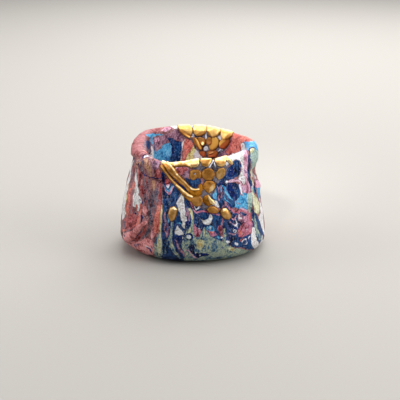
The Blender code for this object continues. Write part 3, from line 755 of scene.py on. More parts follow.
def clay_distance(name, seed, points, angle, down):
    """How far, in pixels, each point is from the edge of a clay, less than 0 inside it."""
    x, y = seen_at(points)
    flat = np.stack((x, y), axis=1)
    coarse, fine = EDGE_WANDER
    x = x + waves(flat, *coarse, 1) + waves(flat, *fine, 2)
    y = y + waves(flat, *coarse, 3) + waves(flat, *fine, 4)
    seen_out = nearest_of(OUTSIDE[name], x, y)
    seen_in = nearest_of(INSIDE[name], x, y) if name in INSIDE else np.full(x.shape, FAR)
    run = points * (1.0, 1.0, HIDDEN_RUN) + waves(points, *HIDDEN_WANDER, 40 + seed)[:, None]
    hidden = (HIDDEN[name] - waves(run, *HIDDEN_PATCHES, 60 + seed)) * HIDDEN_EDGE
    front = in_front(angle)
    out = front * seen_out + (1.0 - front) * hidden
    back = 1.0 - smooth_step(abs(turn_between(angle, 90.0)), *INSIDE_ENDS)
    back = back * (1.0 - smooth_step(y, *BELOW_SIGHT))
    within = back * seen_in + (1.0 - back) * hidden
    mean, tilt, blur = LIP_EDGE
    turn, spread, rise = LIP_BEHIND_EARS
    behind_ears = bell(abs(turn_between(angle, -90.0)) - turn, spread)
    lip = mean + tilt * np.sin(np.radians(angle)) + rise * behind_ears
    inner = smooth_step(lip - down, -blur, blur)
    return inner * within + (1.0 - inner) * out


# The mesh: the profile is spun with more columns at the front, where the marbling is finest
COLUMNS = 384
FRONT_CROWDING = 0.35
UNDERSIDE_RINGS = 8
FOOT_RINGS = 18
WALL_RINGS = 100
LIP_RINGS = 22
INSIDE_RINGS = 56
FLOOR_BEND_RINGS = 12
FLOOR_RINGS = 8
WELD = 0.005


def quarter(centre, radius, first, last, count):
    """Points on an arc of the profile, its first end left out."""
    turns = np.radians(np.linspace(first, last, count + 1)[1:])
    return [(centre[0] + radius * math.cos(turn), centre[1] + radius * math.sin(turn)) for turn in turns]


def straight(start, end, count):
    """Evenly spaced points from one place on the profile to another, the first left out."""
    return [tuple(point) for point in np.linspace(start, end, count + 1)[1:]]


foot_edge = POT_RADIUS - FOOT_ROUNDING
inner_radius = POT_RADIUS - WALL
floor_edge = inner_radius - INNER_ROUNDING
floor_bend = FLOOR + INNER_ROUNDING
lip_middle = POT_RADIUS - WALL / 2.0
profile = [(0.0, 0.0)]
profile += straight((0.0, 0.0), (foot_edge, 0.0), UNDERSIDE_RINGS)
profile += quarter((foot_edge, FOOT_ROUNDING), FOOT_ROUNDING, -90.0, 0.0, FOOT_RINGS)
profile += straight((POT_RADIUS, FOOT_ROUNDING), (POT_RADIUS, LIP_CENTRE), WALL_RINGS)
profile += quarter((lip_middle, LIP_CENTRE), WALL / 2.0, 0.0, 180.0, LIP_RINGS)
profile += straight((inner_radius, LIP_CENTRE), (inner_radius, floor_bend), INSIDE_RINGS)
profile += quarter((floor_edge, floor_bend), INNER_ROUNDING, 0.0, -90.0, FLOOR_BEND_RINGS)
profile += straight((floor_edge, FLOOR), (0.0, FLOOR), FLOOR_RINGS)
steps = np.hypot(*np.diff(np.array(profile), axis=0).T)
passed = np.concatenate(((0.0,), np.cumsum(steps)))
lip_top = int(np.argmax([z for _, z in profile]))

cup = bmesh.new()
down_layer = cup.verts.layers.float.new("down")
chain = [cup.verts.new((radius, 0.0, z)) for radius, z in profile]
for vert, reached in zip(chain, passed):
    vert[down_layer] = passed[lip_top] - reached
for a, b in zip(chain, chain[1:]):
    cup.edges.new((a, b))
bmesh.ops.spin(
    cup,
    geom=cup.verts[:] + cup.edges[:],
    cent=(0.0, 0.0, 0.0),
    axis=(0.0, 0.0, 1.0),
    angle=2.0 * math.pi,
    steps=COLUMNS,
    use_merge=True,
)
bmesh.ops.remove_doubles(cup, verts=cup.verts, dist=WELD)
bmesh.ops.recalc_face_normals(cup, faces=cup.faces)
cup_mesh = bpy.data.meshes.new("cup_clay")
cup.to_mesh(cup_mesh)
cup.free()
cup_mesh.shade_smooth()


def column(data, name, width=1):
    """One value, or one vector, for each item of a mesh's list."""
    values = np.zeros(len(data) * width, np.float32)
    data.foreach_get(name, values)
    return values.reshape(-1, width).astype(float) if width > 1 else values.astype(float)


def keep_values(mesh, name, values):
    """Keeps one number for each point of a mesh, for its material to read."""
    mesh.attributes.new(name, "FLOAT", "POINT").data.foreach_set("value", values.astype(np.float32))


# Painted light: the clay inside the cup is painted lighter, most of all at the right, for light that bounces
# about inside it
SUNLIT_TURN = 50.0
SUNLIT_REACH = (0.4, 0.95)
SUNLIT_SHARES = (0.3, 0.7)
INNER_BEGINS = (3.0, 9.0)

turned = column(cup_mesh.vertices, "co", 3)
down = column(cup_mesh.attributes["down"].data, "value")
spun = np.arctan2(turned[:, 1], turned[:, 0])
crowded = spun - FRONT_CROWDING * np.cos(spun)
reach = np.hypot(turned[:, 0], turned[:, 1])
turned[:, 0] = reach * np.cos(crowded)
turned[:, 1] = reach * np.sin(crowded)
shaped = formed(turned, down)
cup_mesh.vertices.foreach_set("co", (shaped * MM).astype(np.float32).ravel())
angle = np.degrees(crowded)
for number, clay in enumerate(OUTSIDE):
    keep_values(cup_mesh, clay, clay_distance(clay, number, shaped, angle, down))
sunlit = smooth_step(np.cos(np.radians(angle - SUNLIT_TURN)), *SUNLIT_REACH)
sunlit = smooth_step(-down, *INNER_BEGINS) * (SUNLIT_SHARES[0] + SUNLIT_SHARES[1] * sunlit)
keep_values(cup_mesh, "inner", sunlit)

# The grain of the clay runs up and down the wall: streaks are 4 times as long as they are wide
GRAIN_RUN = 0.25
GRAIN_LEAN = (16.0, 2.0)
lean = waves(shaped, *GRAIN_LEAN, seed=21)
grain = np.stack((POT_RADIUS * np.cos(crowded), POT_RADIUS * np.sin(crowded), down * GRAIN_RUN), axis=1)
grain[:, :2] += lean[:, None]
grain_layer = cup_mesh.attributes.new("grain", "FLOAT_VECTOR", "POINT")
grain_layer.data.foreach_set("vector", (grain * MM).astype(np.float32).ravel())

# The unrolled wall is the cup's own map for baking, kept a little inside the edges of the picture
MAP_WIDTH = 0.99
MAP_MIDDLE = 0.498
corner_vert = column(cup_mesh.loops, "vertex_index").astype(int)
corner_count = column(cup_mesh.polygons, "loop_total").astype(int)
corner_face = np.repeat(np.arange(len(corner_count)), corner_count)
corner_turn = spun[corner_vert] / (2.0 * math.pi)
at_pole = reach[corner_vert] < WELD
face_turn = np.full(len(corner_count), -1.0)
np.maximum.at(face_turn, corner_face[~at_pole], corner_turn[~at_pole])
behind = face_turn[corner_face] - corner_turn > 0.5
corner_turn = np.where(at_pole, face_turn[corner_face], corner_turn + behind)
along_profile = (passed[lip_top] - down[corner_vert]) / passed[-1]
unrolled = np.stack((corner_turn * MAP_WIDTH + MAP_MIDDLE, along_profile), axis=1)
cup_mesh.uv_layers.new(name="OFBake").data.foreach_set("uv", unrolled.astype(np.float32).ravel())

cup_clay = bpy.data.objects.new("cup_clay", cup_mesh)
bpy.context.scene.collection.objects.link(cup_clay)
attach(cup_clay, "root")
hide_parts("cup_body")


def colour(code):
    """An sRGB hex colour as the linear values that a shader takes."""
    parts = [int(code[i:i + 2], 16) / 255.0 for i in (1, 3, 5)]
    return (*(p / 12.92 if p <= 0.04045 else ((p + 0.055) / 1.055) ** 2.4 for p in parts), 1.0)


def add(tree, kind, inputs=(), stops=(), take=0, **settings):
    """Adds a node and gives one of its outputs. Its inputs are values or other nodes' outputs, by name or
    number, and its stops are a ramp's."""
    made = tree.nodes.new("ShaderNode" + kind)
    for name, value in settings.items():
        setattr(made, name, value)
    for i, (place, code) in enumerate(stops):
        stop = made.color_ramp.elements[i] if i < 2 else made.color_ramp.elements.new(place)
        stop.position = place
        stop.color = colour(code)
    for key, value in dict(inputs).items():
        if isinstance(value, bpy.types.NodeSocket):
            tree.links.new(value, made.inputs[key])
        else:
            made.inputs[key].default_value = value
    return made.outputs[take]


def new_material(name, **values):
    """A material with its shader's own values set, and its node tree and shader."""
    material = bpy.data.materials.new(name)
    material.use_nodes = True
    shader = material.node_tree.nodes["Principled BSDF"]
    for key, value in values.items():
        shader.inputs[key.replace("_", " ")].default_value = value
    return material, material.node_tree, shader


# Hand-coloured stoneware clay, burnished and fired without glaze: each clay is an earthy colour broken by
# fine streaks along the pull of the hand and by thin veins of its neighbours, matt with a soft sheen.
# Each row: the clay's deepest fleck, its dark, middle and light tones, and the colour of its veins.
TONES = {
    "rose": ("#311f29", "#633b3f", "#8b5a5c", "#b17978", "#575263"),
    "slate": ("#232130", "#454255", "#625c6d", "#91838f", "#85565b"),
    "tan": ("#57392f", "#875946", "#b27f63", "#d5ac8b", "#874c46"),
    "blush": ("#88464a", "#c16d6d", "#df8c8b", "#f2b0af", "#a76a78"),
    # Painted shade: a darker copy of the blush clay, for the top of the left ear, and one more clay where
    # the marbling is hidden
    "blush_with_painted_shade": ("#652f33", "#904c4d", "#a76263", "#b67c7d", "#7c4954"),
    "navy": ("#040b20", "#091c3d", "#102e5b", "#265087", "#494872"),
    "blue": ("#041439", "#0a295a", "#143d74", "#2c5c90", "#061d48"),
    "leaf": ("#0f2c50", "#426788", "#829791", "#c2cba6", "#3c6286"),
    "ochre": ("#836837", "#bd9e5b", "#e3cf81", "#fcf7b4", "#a8996d"),
    "mint": ("#577877", "#87a29b", "#a5bcb1", "#c0d2c3", "#658b9e"),
    "straw": ("#948c6d", "#bcb88b", "#d3d0a6", "#e5e4c7", "#a6b4a6"),
    "sky": ("#1b558f", "#327eb4", "#4aa3d4", "#79c3e5", "#2f74ae"),
    "chalk": ("#958e92", "#c6c1bd", "#e4e4e5", "#f9fcfe", "#b89ca0"),
    "mauve": ("#41273f", "#6f495d", "#90667c", "#b795a6", "#ad6673"),
    "pink": ("#7d4560", "#b2748d", "#dd9fb7", "#edc9d9", "#936795"),
    "red": ("#40111a", "#7a3033", "#ad4d4e", "#c97674", "#6f2b4b"),
    "rosy": ("#461723", "#853e4d", "#bb6274", "#d993a8", "#783870"),
    "coral": ("#862c2c", "#ba554e", "#d67163", "#eb9484", "#9a3c3c"),
    "ground": ("#1d181d", "#3b363c", "#5a5660", "#7d7a87", "#574031"),
    "ink": ("#000415", "#010a2f", "#01154d", "#042a75", "#132e72"),
    "white": ("#9696a4", "#ccced8", "#e8eaf2", "#fafafc", "#bebece"),
}
TONE_PLACES = (0.1, 0.36, 0.52, 0.7, 0.92)
MIDDLE_TONE = TONE_PLACES[2]
CLOUDING = 0.62
CONTRAST = 3.0
FLECKING = 0.5
# Each unevenness: its size, its detail and how much it is bent
STREAKS = (1.3 * MM, 5.0, 0.7)
CLOUDS = (3.6 * MM, 5.0, 1.0)
FLECKS = (0.7 * MM, 2.0, 0.0)
EDGE_WAVER = (2.6 * MM, 2.0, 0.0)
NOISE_ROUGHNESS = 0.6
WAVER_PIXELS = 1.5
WOBBLE_PIXELS = 0.9
EDGE_SOFTNESS = 0.2
# Each vein's size, detail and bend, its width on the noise and its strength. The hairs are finer than a
# pixel in the real clay, and are drawn as wide as they need to be to show. Each has a shift and a colour.
VEIN = (4.5 * MM, 3.0, 2.2, 0.016, 0.42)
HAIRS = (
    ((5.2 * MM, 4.0, 1.6, 0.008, 0.3), 0.37, "#d8d2d6"),
    ((4.4 * MM, 4.0, 1.6, 0.009, 0.4), 0.71, "#1c2038"),
)
SPECK = "#d2d0d8"
# How much lighter the painted light makes the clay inside the cup at most
PAINTED_LIGHT_INSIDE = 1.38

clay_material, tree, shader = new_material(
    "burnished_marbled_stoneware", Roughness=0.55, IOR=1.5, Specular_IOR_Level=0.1
)
place = add(tree, "TexCoord", take="Object")
pull = add(tree, "Attribute", take="Vector", attribute_name="grain")
noises = ((pull, STREAKS), (place, CLOUDS), (place, FLECKS), (place, EDGE_WAVER))
streaks, clouds, flecks, waver = (
    add(tree, "TexNoise", {"Vector": where, "Scale": 1.0 / size, "Detail": detail,
                           "Roughness": NOISE_ROUGHNESS, "Distortion": bend})
    for where, (size, detail, bend) in noises
)


def vein(tree, where, size, detail, bend, width, strength):
    """Thin wandering veins where a noise crosses its middle: the strength on a vein, and 0 off it."""
    wander = add(tree, "TexNoise", {"Vector": where, "Scale": 1.0 / size, "Detail": detail,
                                    "Roughness": NOISE_ROUGHNESS, "Distortion": bend})
    away = add(tree, "Math", {0: wander, 1: 0.5}, operation="SUBTRACT")
    away = add(tree, "Math", {0: away}, operation="ABSOLUTE")
    return add(tree, "MapRange", {"Value": away, "From Max": width, "To Min": strength, "To Max": 0.0})


tone = add(tree, "Mix", {"Factor": CLOUDING, "A": streaks, "B": clouds})
level = MIDDLE_TONE - (CONTRAST + FLECKING) / 2.0
tone = add(tree, "Math", {0: tone, 1: CONTRAST, 2: level}, operation="MULTIPLY_ADD")
tone = add(tree, "Math", {0: flecks, 1: FLECKING, 2: tone}, operation="MULTIPLY_ADD")
tone = add(tree, "Math", {0: tone, 1: vein(tree, pull, *VEIN)})
level = -(WAVER_PIXELS + WOBBLE_PIXELS) / 2.0
wobble = add(tree, "Math", {0: waver, 1: WAVER_PIXELS, 2: level}, operation="MULTIPLY_ADD")
wobble = add(tree, "Math", {0: flecks, 1: WOBBLE_PIXELS, 2: wobble}, operation="MULTIPLY_ADD")
# Each clay is laid over those before it, its edge wavering by less than a pixel
for clay in ("rose", *OUTSIDE):
    toned = add(tree, "ValToRGB", {"Fac": tone}, stops=tuple(zip(TONE_PLACES, TONES[clay])))
    if clay != "rose":
        edge = add(tree, "Attribute", take="Fac", attribute_name=clay)
        edge = add(tree, "Math", {0: edge, 1: wobble})
        share = add(tree, "MapRange", {"Value": edge, "From Min": EDGE_SOFTNESS, "From Max": -EDGE_SOFTNESS})
        toned = add(tree, "Mix", {0: share, 6: surface, 7: toned}, take=2, data_type="RGBA")
    surface = toned
for threads, shift, code in HAIRS:
    where = add(tree, "VectorMath", {0: pull, 1: (shift, shift, shift)})
    share = vein(tree, where, *threads)
    surface = add(tree, "Mix", {0: share, 6: surface, 7: colour(code)}, take=2, data_type="RGBA")
specks = add(tree, "MapRange", {"Value": flecks, "From Min": 0.66, "From Max": 0.74, "To Max": 0.5})
surface = add(tree, "Mix", {0: specks, 6: surface, 7: colour(SPECK)}, take=2, data_type="RGBA")
shade = {"Value": flecks, "From Min": 0.3, "From Max": 0.7, "To Min": 0.84, "To Max": 1.14}
# Painted light: the clay inside the cup is made lighter by the share kept for it
inner = add(tree, "Attribute", take="Fac", attribute_name="inner")
painted_inside_light = {"Value": inner, "To Min": 1.0, "To Max": PAINTED_LIGHT_INSIDE}
for strengths, clamped in ((shade, False), (painted_inside_light, True)):
    surface = add(
        tree, "Mix", {0: 1.0, 6: surface, 7: add(tree, "MapRange", strengths)}, take=2, data_type="RGBA",
        blend_type="MULTIPLY", clamp_result=clamped
    )
sheen = {"Value": tone, "From Min": 0.3, "From Max": 0.7, "To Min": 0.46, "To Max": 0.66}
relief = add(tree, "Mix", {"Factor": 0.5, "A": streaks, "B": flecks})
bump = add(tree, "Bump", {"Height": relief, "Strength": 0.22, "Distance": 0.2 * MM})
for key, value in (("Base Color", surface), ("Roughness", add(tree, "MapRange", sheen)), ("Normal", bump)):
    tree.links.new(value, shader.inputs[key])
cup_mesh.materials.append(clay_material)


def cut_out(whole, hole):
    """A shape with a hole cut out of it."""
    return lambda x, y: np.maximum(whole(x, y), -hole(x, y))


# The mends: breaks filled with lacquer and dusted with gold. Each is one sheet that rolls over the lip,
# raised into cells along the rim, ridges along the cracks and rounded drops between them.

# Each row: the shape as seen from the front, its rise in mm, how far its edge is rounded in pixels, its
# polish and its warmth (amber lacquer showing through). A row with no rise repaints the polish and warmth
# of the cells listed before it, without raising them.
FRONT_MEND = (
    (patch(614, 636, 620, 540, 780, 520, 990, 500, 990, 644, 976, 660, 952, 672, 908, 668, 864, 650,
        810, 654, 760, 666, 706, 658, 660, 648, 634, 646), 1, 2.4, 1, 0),
    (patch(1001, 500, 1126, 500, 1128, 584, 1108, 626, 1086, 656, 1060, 668, 1024, 654, 1003, 616), 0.75,
        2.2, 0.85, 0),
    (patch(1139, 500, 1260, 500, 1260, 610, 1244, 650, 1214, 666, 1176, 656, 1148, 618), 0.75, 2.2, 0.85,
        0),
    (patch(1249, 570, 1270, 566, 1288, 588, 1310, 606, 1328, 630, 1316, 648, 1290, 630, 1268, 606), 0.6,
        1.6, 1, 0),
    (patch(1004, 614, 1040, 602, 1084, 604, 1110, 598, 1098, 626, 1074, 666, 1036, 662, 1010, 642), 0, 1.4,
        0.15, 0),
    (patch(1148, 624, 1196, 612, 1250, 618, 1248, 642, 1198, 650, 1158, 648), 0, 1.2, 0.2, 0),
    (patch(906, 648, 944, 644, 982, 640, 968, 664, 934, 672, 906, 670), 0, 1.2, 0.2, 0),
    (line(15, 750, 666, 794, 654, 840, 650, 882, 658, 912, 674), 0.8, 1, 0.2, 0),
    (patch(604, 658, 616, 650, 628, 656, 650, 690, 678, 734, 708, 770, 738, 808, 770, 836, 802, 864,
        832, 894, 864, 926, 896, 948, 926, 964, 924, 1005, 904, 1014, 860, 982, 824, 944, 788, 898,
        752, 854, 714, 812, 678, 764, 642, 722, 609, 679), 0.55, 1.3, 0.05, 0.1),
    (line(9, 614, 666, 654, 716, 702, 778, 756, 838), 0.8, 0.8, 0.3, 0.1),
    (line(22, 766, 848, 804, 880, 840, 914, 880, 946, 922, 966), 1.35, 1.4, 0.95, 0),
    (patch(626, 632, 666, 632, 706, 648, 746, 684, 766, 720, 784, 748, 818, 780, 852, 812, 876, 844,
        906, 870, 904, 910, 886, 920, 858, 882, 828, 850, 792, 828, 754, 794, 718, 756, 688, 720, 658, 682,
        634, 650), 0.6, 1.3, 0.05, 0.1),
    (line(10, 662, 636, 690, 654, 720, 678, 746, 702), 1.2, 0.8, 1, 0),
    (line(18, 734, 696, 764, 740, 802, 778, 846, 818, 884, 866), 1, 1, 0.35, 0.05),
    (line(12, 642, 654, 684, 702, 734, 756, 788, 802, 842, 850, 882, 900), 0.85, 0.8, 0.15, 0.1),
    (dot(773, 742, 7), 1.3, 0.8, 1, 0), (line(14, 902, 872, 922, 888, 950, 894, 986, 888), 1.2, 0.9, 1, 0),
    (patch(886, 904, 904, 874, 946, 896, 986, 886, 990, 852, 1004, 840, 1020, 852, 1024, 894, 1014, 934,
        996, 962, 950, 970, 916, 962, 904, 936), 0.5, 1.4, 0, 0),
    (cut_out(patch(902, 716, 926, 702, 964, 699, 996, 710, 1010, 734, 1008, 764, 996, 782, 974, 768,
        956, 786, 932, 802, 910, 788, 898, 754), dot(949, 737, 16, 0.8)), 0.5, 1.3, 0.1, 0.15),
    (dot(1082, 743, 62, 0.93), 0.45, 1.3, 0.08, 0.1),
    (patch(1236, 680, 1252, 706, 1246, 746, 1218, 782, 1184, 792, 1164, 770, 1164, 726, 1192, 688), 0.45,
        1.3, 0.35, 0),
    (patch(1064, 814, 1118, 812, 1148, 834, 1149, 866, 1126, 900, 1092, 932, 1062, 914, 1032, 878,
        1036, 840), 0.45, 1.3, 0.05, 0.08),
    (patch(1082, 928, 1094, 874, 1122, 836, 1148, 840, 1149, 870, 1126, 904), 0.52, 1.3, 0.5, 0),
    (dot(971, 1009, 54, 0.95), 0.5, 1.4, 0.1, 0.1),
    (patch(1048, 960, 1074, 952, 1086, 982, 1104, 1020, 1112, 1042, 1086, 1058, 1054, 1046, 1034, 1010,
        1036, 980), 0.45, 1.4, 0, 0.05),
    (patch(1074, 948, 1094, 962, 1110, 988, 1134, 1002, 1148, 1028, 1130, 1049, 1106, 1028, 1086, 994),
        0.95, 1.5, 1, 0),
    (patch(1070, 1094, 1096, 1068, 1136, 1065, 1172, 1084, 1186, 1114, 1166, 1132, 1126, 1130, 1086, 1118),
        0.6, 1.8, 0.1, 0.05),
)
BACK_MEND = (
    (patch(784, 294, 766, 180, 884, 160, 888, 254, 920, 294, 924, 326, 908, 356, 876, 344, 840, 326,
        804, 308), 0.7, 2.2, 1, 0.25),
    (patch(952, 160, 1062, 160, 1062, 324, 1048, 346, 1014, 362, 974, 366, 942, 344, 930, 310, 930, 292,
        948, 254), 0.7, 2.2, 1, 0.25),
    (patch(1069, 160, 1204, 180, 1204, 326, 1184, 360, 1136, 380, 1092, 358, 1070, 324), 0.7, 2.2, 1, 0.25),
    (patch(1210, 180, 1334, 200, 1332, 326, 1318, 370, 1288, 398, 1244, 406, 1214, 380, 1210, 336), 0.7,
        2.2, 1, 0.3),
    (patch(780, 290, 806, 308, 844, 328, 884, 350, 908, 366, 900, 388, 868, 376, 828, 354, 796, 324), 0.9,
        1.8, 0.15, 0.6),
    (patch(826, 336, 862, 348, 904, 368, 896, 384, 858, 364), 0, 1, 0.8, 0.4),
    (patch(964, 344, 1000, 326, 1058, 316, 1058, 370, 1010, 390, 968, 386), 0, 1, 0.1, 0.5),
    (patch(1062, 318, 1092, 324, 1120, 346, 1140, 394, 1084, 396, 1062, 360), 0, 1, 0.1, 0.5),
    (patch(1264, 374, 1296, 354, 1324, 346, 1320, 388, 1288, 410, 1254, 408), 0, 1.4, 0.15, 0.5),
    (patch(926, 386, 952, 382, 974, 406, 994, 444, 1026, 480, 1020, 508, 984, 496, 954, 460, 934, 424),
        0.75, 1.8, 0.1, 0.6),
    (line(19, 956, 396, 976, 428, 996, 464, 1014, 490), 1.1, 1, 0.75, 0.45),
    (patch(974, 384, 1006, 380, 1044, 394, 1058, 424, 1048, 456, 1020, 464, 994, 436), 0.8, 2, 0.05, 0.5),
    (dot(1032, 436, 17, 1.2), 1.2, 1.5, 1, 0), (dot(1096, 420, 32, 1.15), 0.75, 1.8, 0.1, 0.5),
    (patch(1126, 386, 1162, 379, 1187, 404, 1188, 446, 1170, 486, 1136, 510, 1104, 500, 1092, 466,
        1110, 424), 0.7, 2.4, 1, 0.5),
    (patch(1194, 434, 1214, 402, 1266, 386, 1298, 412, 1286, 454, 1254, 494, 1216, 492, 1196, 470), 0.65,
        2.2, 0.2, 0.8),
    (patch(1190, 442, 1214, 398, 1272, 382, 1264, 416, 1234, 440, 1204, 474), 0, 1.6, 1, 0.4),
    (patch(992, 532, 1018, 516, 1048, 530, 1060, 564, 1034, 574, 1008, 560), 0.6, 1.6, 0.2, 0.85),
    (patch(1069, 532, 1104, 510, 1156, 512, 1178, 538, 1168, 576, 1090, 580), 0.6, 1.8, 0.3, 0.8),
    (patch(1086, 530, 1118, 516, 1150, 524, 1128, 542, 1092, 548), 0.75, 1.2, 0.2, 0.6),
    (dot(1086, 624, 34), 0.5, 1.8, 0.6, 0.8), (dot(1146, 618, 22), 0.5, 1.6, 0.6, 0.8),
)

# On the sides turned away, the cells end in scallops: how far down they reach there in mm, and the pitch
# of the cells in pixels. A row of drops follows them at the back, each given by its place on the wall,
# to the side in mm and down from the lip in mm, and its radius.
CELL_PITCH = 13.6
CELL_FIRST = 192.8
SCALLOP = (2.0, 1.3)
CREST = 0.73
SHIFT_BEHIND = 0.9
BEHIND_NARROWS = 0.85
BEHIND_DROPS = (
    (-12.6, 5.6, 1.5),
    (-7.4, 6.6, 2.3),
    (-1.0, 6.9, 2.6),
    (5.6, 6.6, 2.2),
    (11.0, 5.4, 1.4),
    (-4.4, 11.4, 1.9),
    (1.8, 11.8, 1.6),
    (-1.2, 15.2, 1.1),
)
BEHIND_DROP_LOOK = (0.5, 2.0, 0.3, 0.2)
# The lacquer of the back mend hangs: each cell is thicker towards its lower end, and duller and browner
# there as painted shade
HANGING = (0.8, 2.2)
LOWER_SHADE_DULLING = 0.35
LOWER_SHADE_BROWNING = 0.15
# Every mend spreads a little past its shapes, where a low skirt of lacquer, in mm, falls into the clay
# between two distances in pixels. Cells that meet keep a crease between them.
MEND_SPREAD = 0.4
SKIRT_HEIGHT = 0.05
SKIRT_SUNK = 0.6
SKIRT_FALLS = (0.15, 0.9)
CREASE = 0.14
MEND_VALUES = ("inwards", "polish", "warmth")


def mend_field(shapes, side, angle, down):
    """The height, in mm, of a mend over the wall, its distance in pixels from the nearest shape, and how
    far inside its edge, how polished and how warm it is. Side is -1 for the front mend, 1 for the back."""
    facing = np.maximum(down * -side, -CREST) * -side
    x, y = seen_at(on_wall(angle, facing, 0.0))
    if side > 0:
        y = y + SHIFT_BEHIND
    hidden = np.maximum(down * side - CREST, 0.0)
    scallop = SCALLOP[0] + SCALLOP[1] * np.sqrt(abs(np.sin(math.pi * (x - CELL_FIRST) / CELL_PITCH)))
    across = np.radians(turn_between(angle, side * 90.0)) * POT_RADIUS * BEHIND_NARROWS * -side
    height = np.full(x.shape, -FAR)
    values = np.zeros((len(MEND_VALUES), *x.shape))
    lower = np.full(x.shape, -FAR)
    rows = [(shape(x, y) - MEND_SPREAD, *row) for shape, *row in shapes]
    rows = [(np.maximum(away, (hidden - scallop) * PIXELS_A_MM), *row) for away, *row in rows]
    if side > 0:
        drops = [np.hypot(across - a, down - d) - r for a, d, r in BEHIND_DROPS]
        rows.append((np.min(drops, axis=0) * PIXELS_A_MM + FAR * (hidden == 0.0), *BEHIND_DROP_LOOK))
    nearest = np.min([away for away, rise, *_ in rows if rise > 0.0], axis=0)
    for away, rise, rounding, polish, warmth in rows:
        if rise == 0.0:
            share = smooth_step(-away, 0.0, rounding)
            values[1] += share * (polish - values[1])
            values[2] += share * (warmth - values[2])
            continue
        polish, warmth = np.full(x.shape, polish), np.full(x.shape, warmth)
        inwards = np.clip(-away / rounding, 0.0, 1.0)
        raised = rise * np.sqrt(inwards * (2.0 - inwards))
        if side > 0 and (away < 0.0).any():
            reached = y[away < 0.0]
            fall = np.clip((y - reached.min()) / max(np.ptp(reached), 1.0), 0.0, 1.0)
            raised = raised * (HANGING[0] + HANGING[1] * fall * fall)
            # Painted shade: duller and browner towards the cell's lower end
            polish = polish * (1.0 - LOWER_SHADE_DULLING * fall * fall)
            warmth = warmth + LOWER_SHADE_BROWNING * fall * fall
        raised = np.where(away < 0.0, raised, -FAR)
        better = raised > height
        lower = np.where(better, height, np.maximum(lower, raised))
        height = np.where(better, raised, height)
        for value, amount in zip(values, (inwards, polish, warmth)):
            value[better] = amount[better]
    values[0] = np.minimum(values[0], (height - lower) / CREASE)
    skirt = SKIRT_HEIGHT - (SKIRT_HEIGHT + SKIRT_SUNK) * smooth_step(nearest, *SKIRT_FALLS)
    return np.where(nearest < 0.0, height, skirt), nearest, values


# The sheet: a fine grid over the unrolled wall, cleared round the gold, with a flat back sunk in the clay
MEND_GRID = 0.2
MEND_MARGIN = 1.7
MEND_BACK = -1.0
MEND_RIPPLES = (3.4, 0.05)


def make_mend(name, shapes, side, turns, downs):
    """A sheet of lacquer over the lip, between two directions and two distances over the surface."""
    width = math.radians(turns[1] - turns[0]) * POT_RADIUS
    length = downs[1] - downs[0]
    edit = bmesh.new()
    sunk = edit.verts.layers.float.new("sunk")
    bmesh.ops.create_grid(
        edit, x_segments=round(width / MEND_GRID), y_segments=round(length / MEND_GRID), size=0.5
    )
    bmesh.ops.scale(edit, vec=(turns[1] - turns[0], length, 1.0), verts=edit.verts)
    bmesh.ops.translate(edit, vec=(sum(turns) / 2.0, sum(downs) / 2.0, 0.0), verts=edit.verts)
    flat = np.array([vert.co[:2] for vert in edit.verts])
    nearest = mend_field(shapes, side, flat[:, 0], flat[:, 1])[1]
    clear = [vert for vert, away in zip(edit.verts, nearest) if away > MEND_MARGIN]
    bmesh.ops.delete(edit, geom=clear, context="VERTS")
    sheet = bmesh.ops.extrude_face_region(edit, geom=edit.faces[:], use_keep_orig=True)["geom"]
    for item in sheet:
        if isinstance(item, bmesh.types.BMVert):
            item[sunk] = 1.0
            item.co.z = -1.0
    bmesh.ops.recalc_face_normals(edit, faces=edit.faces)
    bmesh.ops.reverse_faces(edit, faces=edit.faces)
    mesh = bpy.data.meshes.new(name)
    edit.to_mesh(mesh)
    edit.free()
    mesh.shade_smooth()
    flat = column(mesh.vertices, "co", 3)
    under = column(mesh.attributes["sunk"].data, "value")
    height, _, values = mend_field(shapes, side, flat[:, 0], flat[:, 1])
    height = np.where(under > 0.5, MEND_BACK, height)
    ripples = waves(np.radians(flat[:, :1]) * POT_RADIUS + flat[:, 1:2] * (0.0, 1.0), *MEND_RIPPLES, seed=7)
    height = height + ripples * (height > 0.0)
    made = on_wall(flat[:, 0], flat[:, 1], height)
    mesh.vertices.foreach_set("co", (made * MM).astype(np.float32).ravel())
    for key, value in zip(MEND_VALUES, values):
        keep_values(mesh, key, value)
    mesh.materials.append(gold_material)
    piece = bpy.data.objects.new(name, mesh)
    bpy.context.scene.collection.objects.link(piece)
    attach(piece, "root")
    return piece


# Gold powder over brown lacquer: deep yellow metal where it was polished, duller and browner where the
# powder lies rough, and the brown lacquer shows along the edges.
POWDER = 0.35 * MM
RIPPLES = 1.8 * MM
DULL_GOLD = ((0.4, "#74440c"), (0.6, "#c28028"))
BRIGHT_GOLD = ((0.35, "#f2bc62"), (0.65, "#ffeebc"))
AMBER = ((0.35, "#945311"), (0.65, "#b07630"))
POLISHED_AMBER = "#ffc458"
RED_LACQUER = "#b03c10"
BROWN_LACQUER = "#5a2c0c"

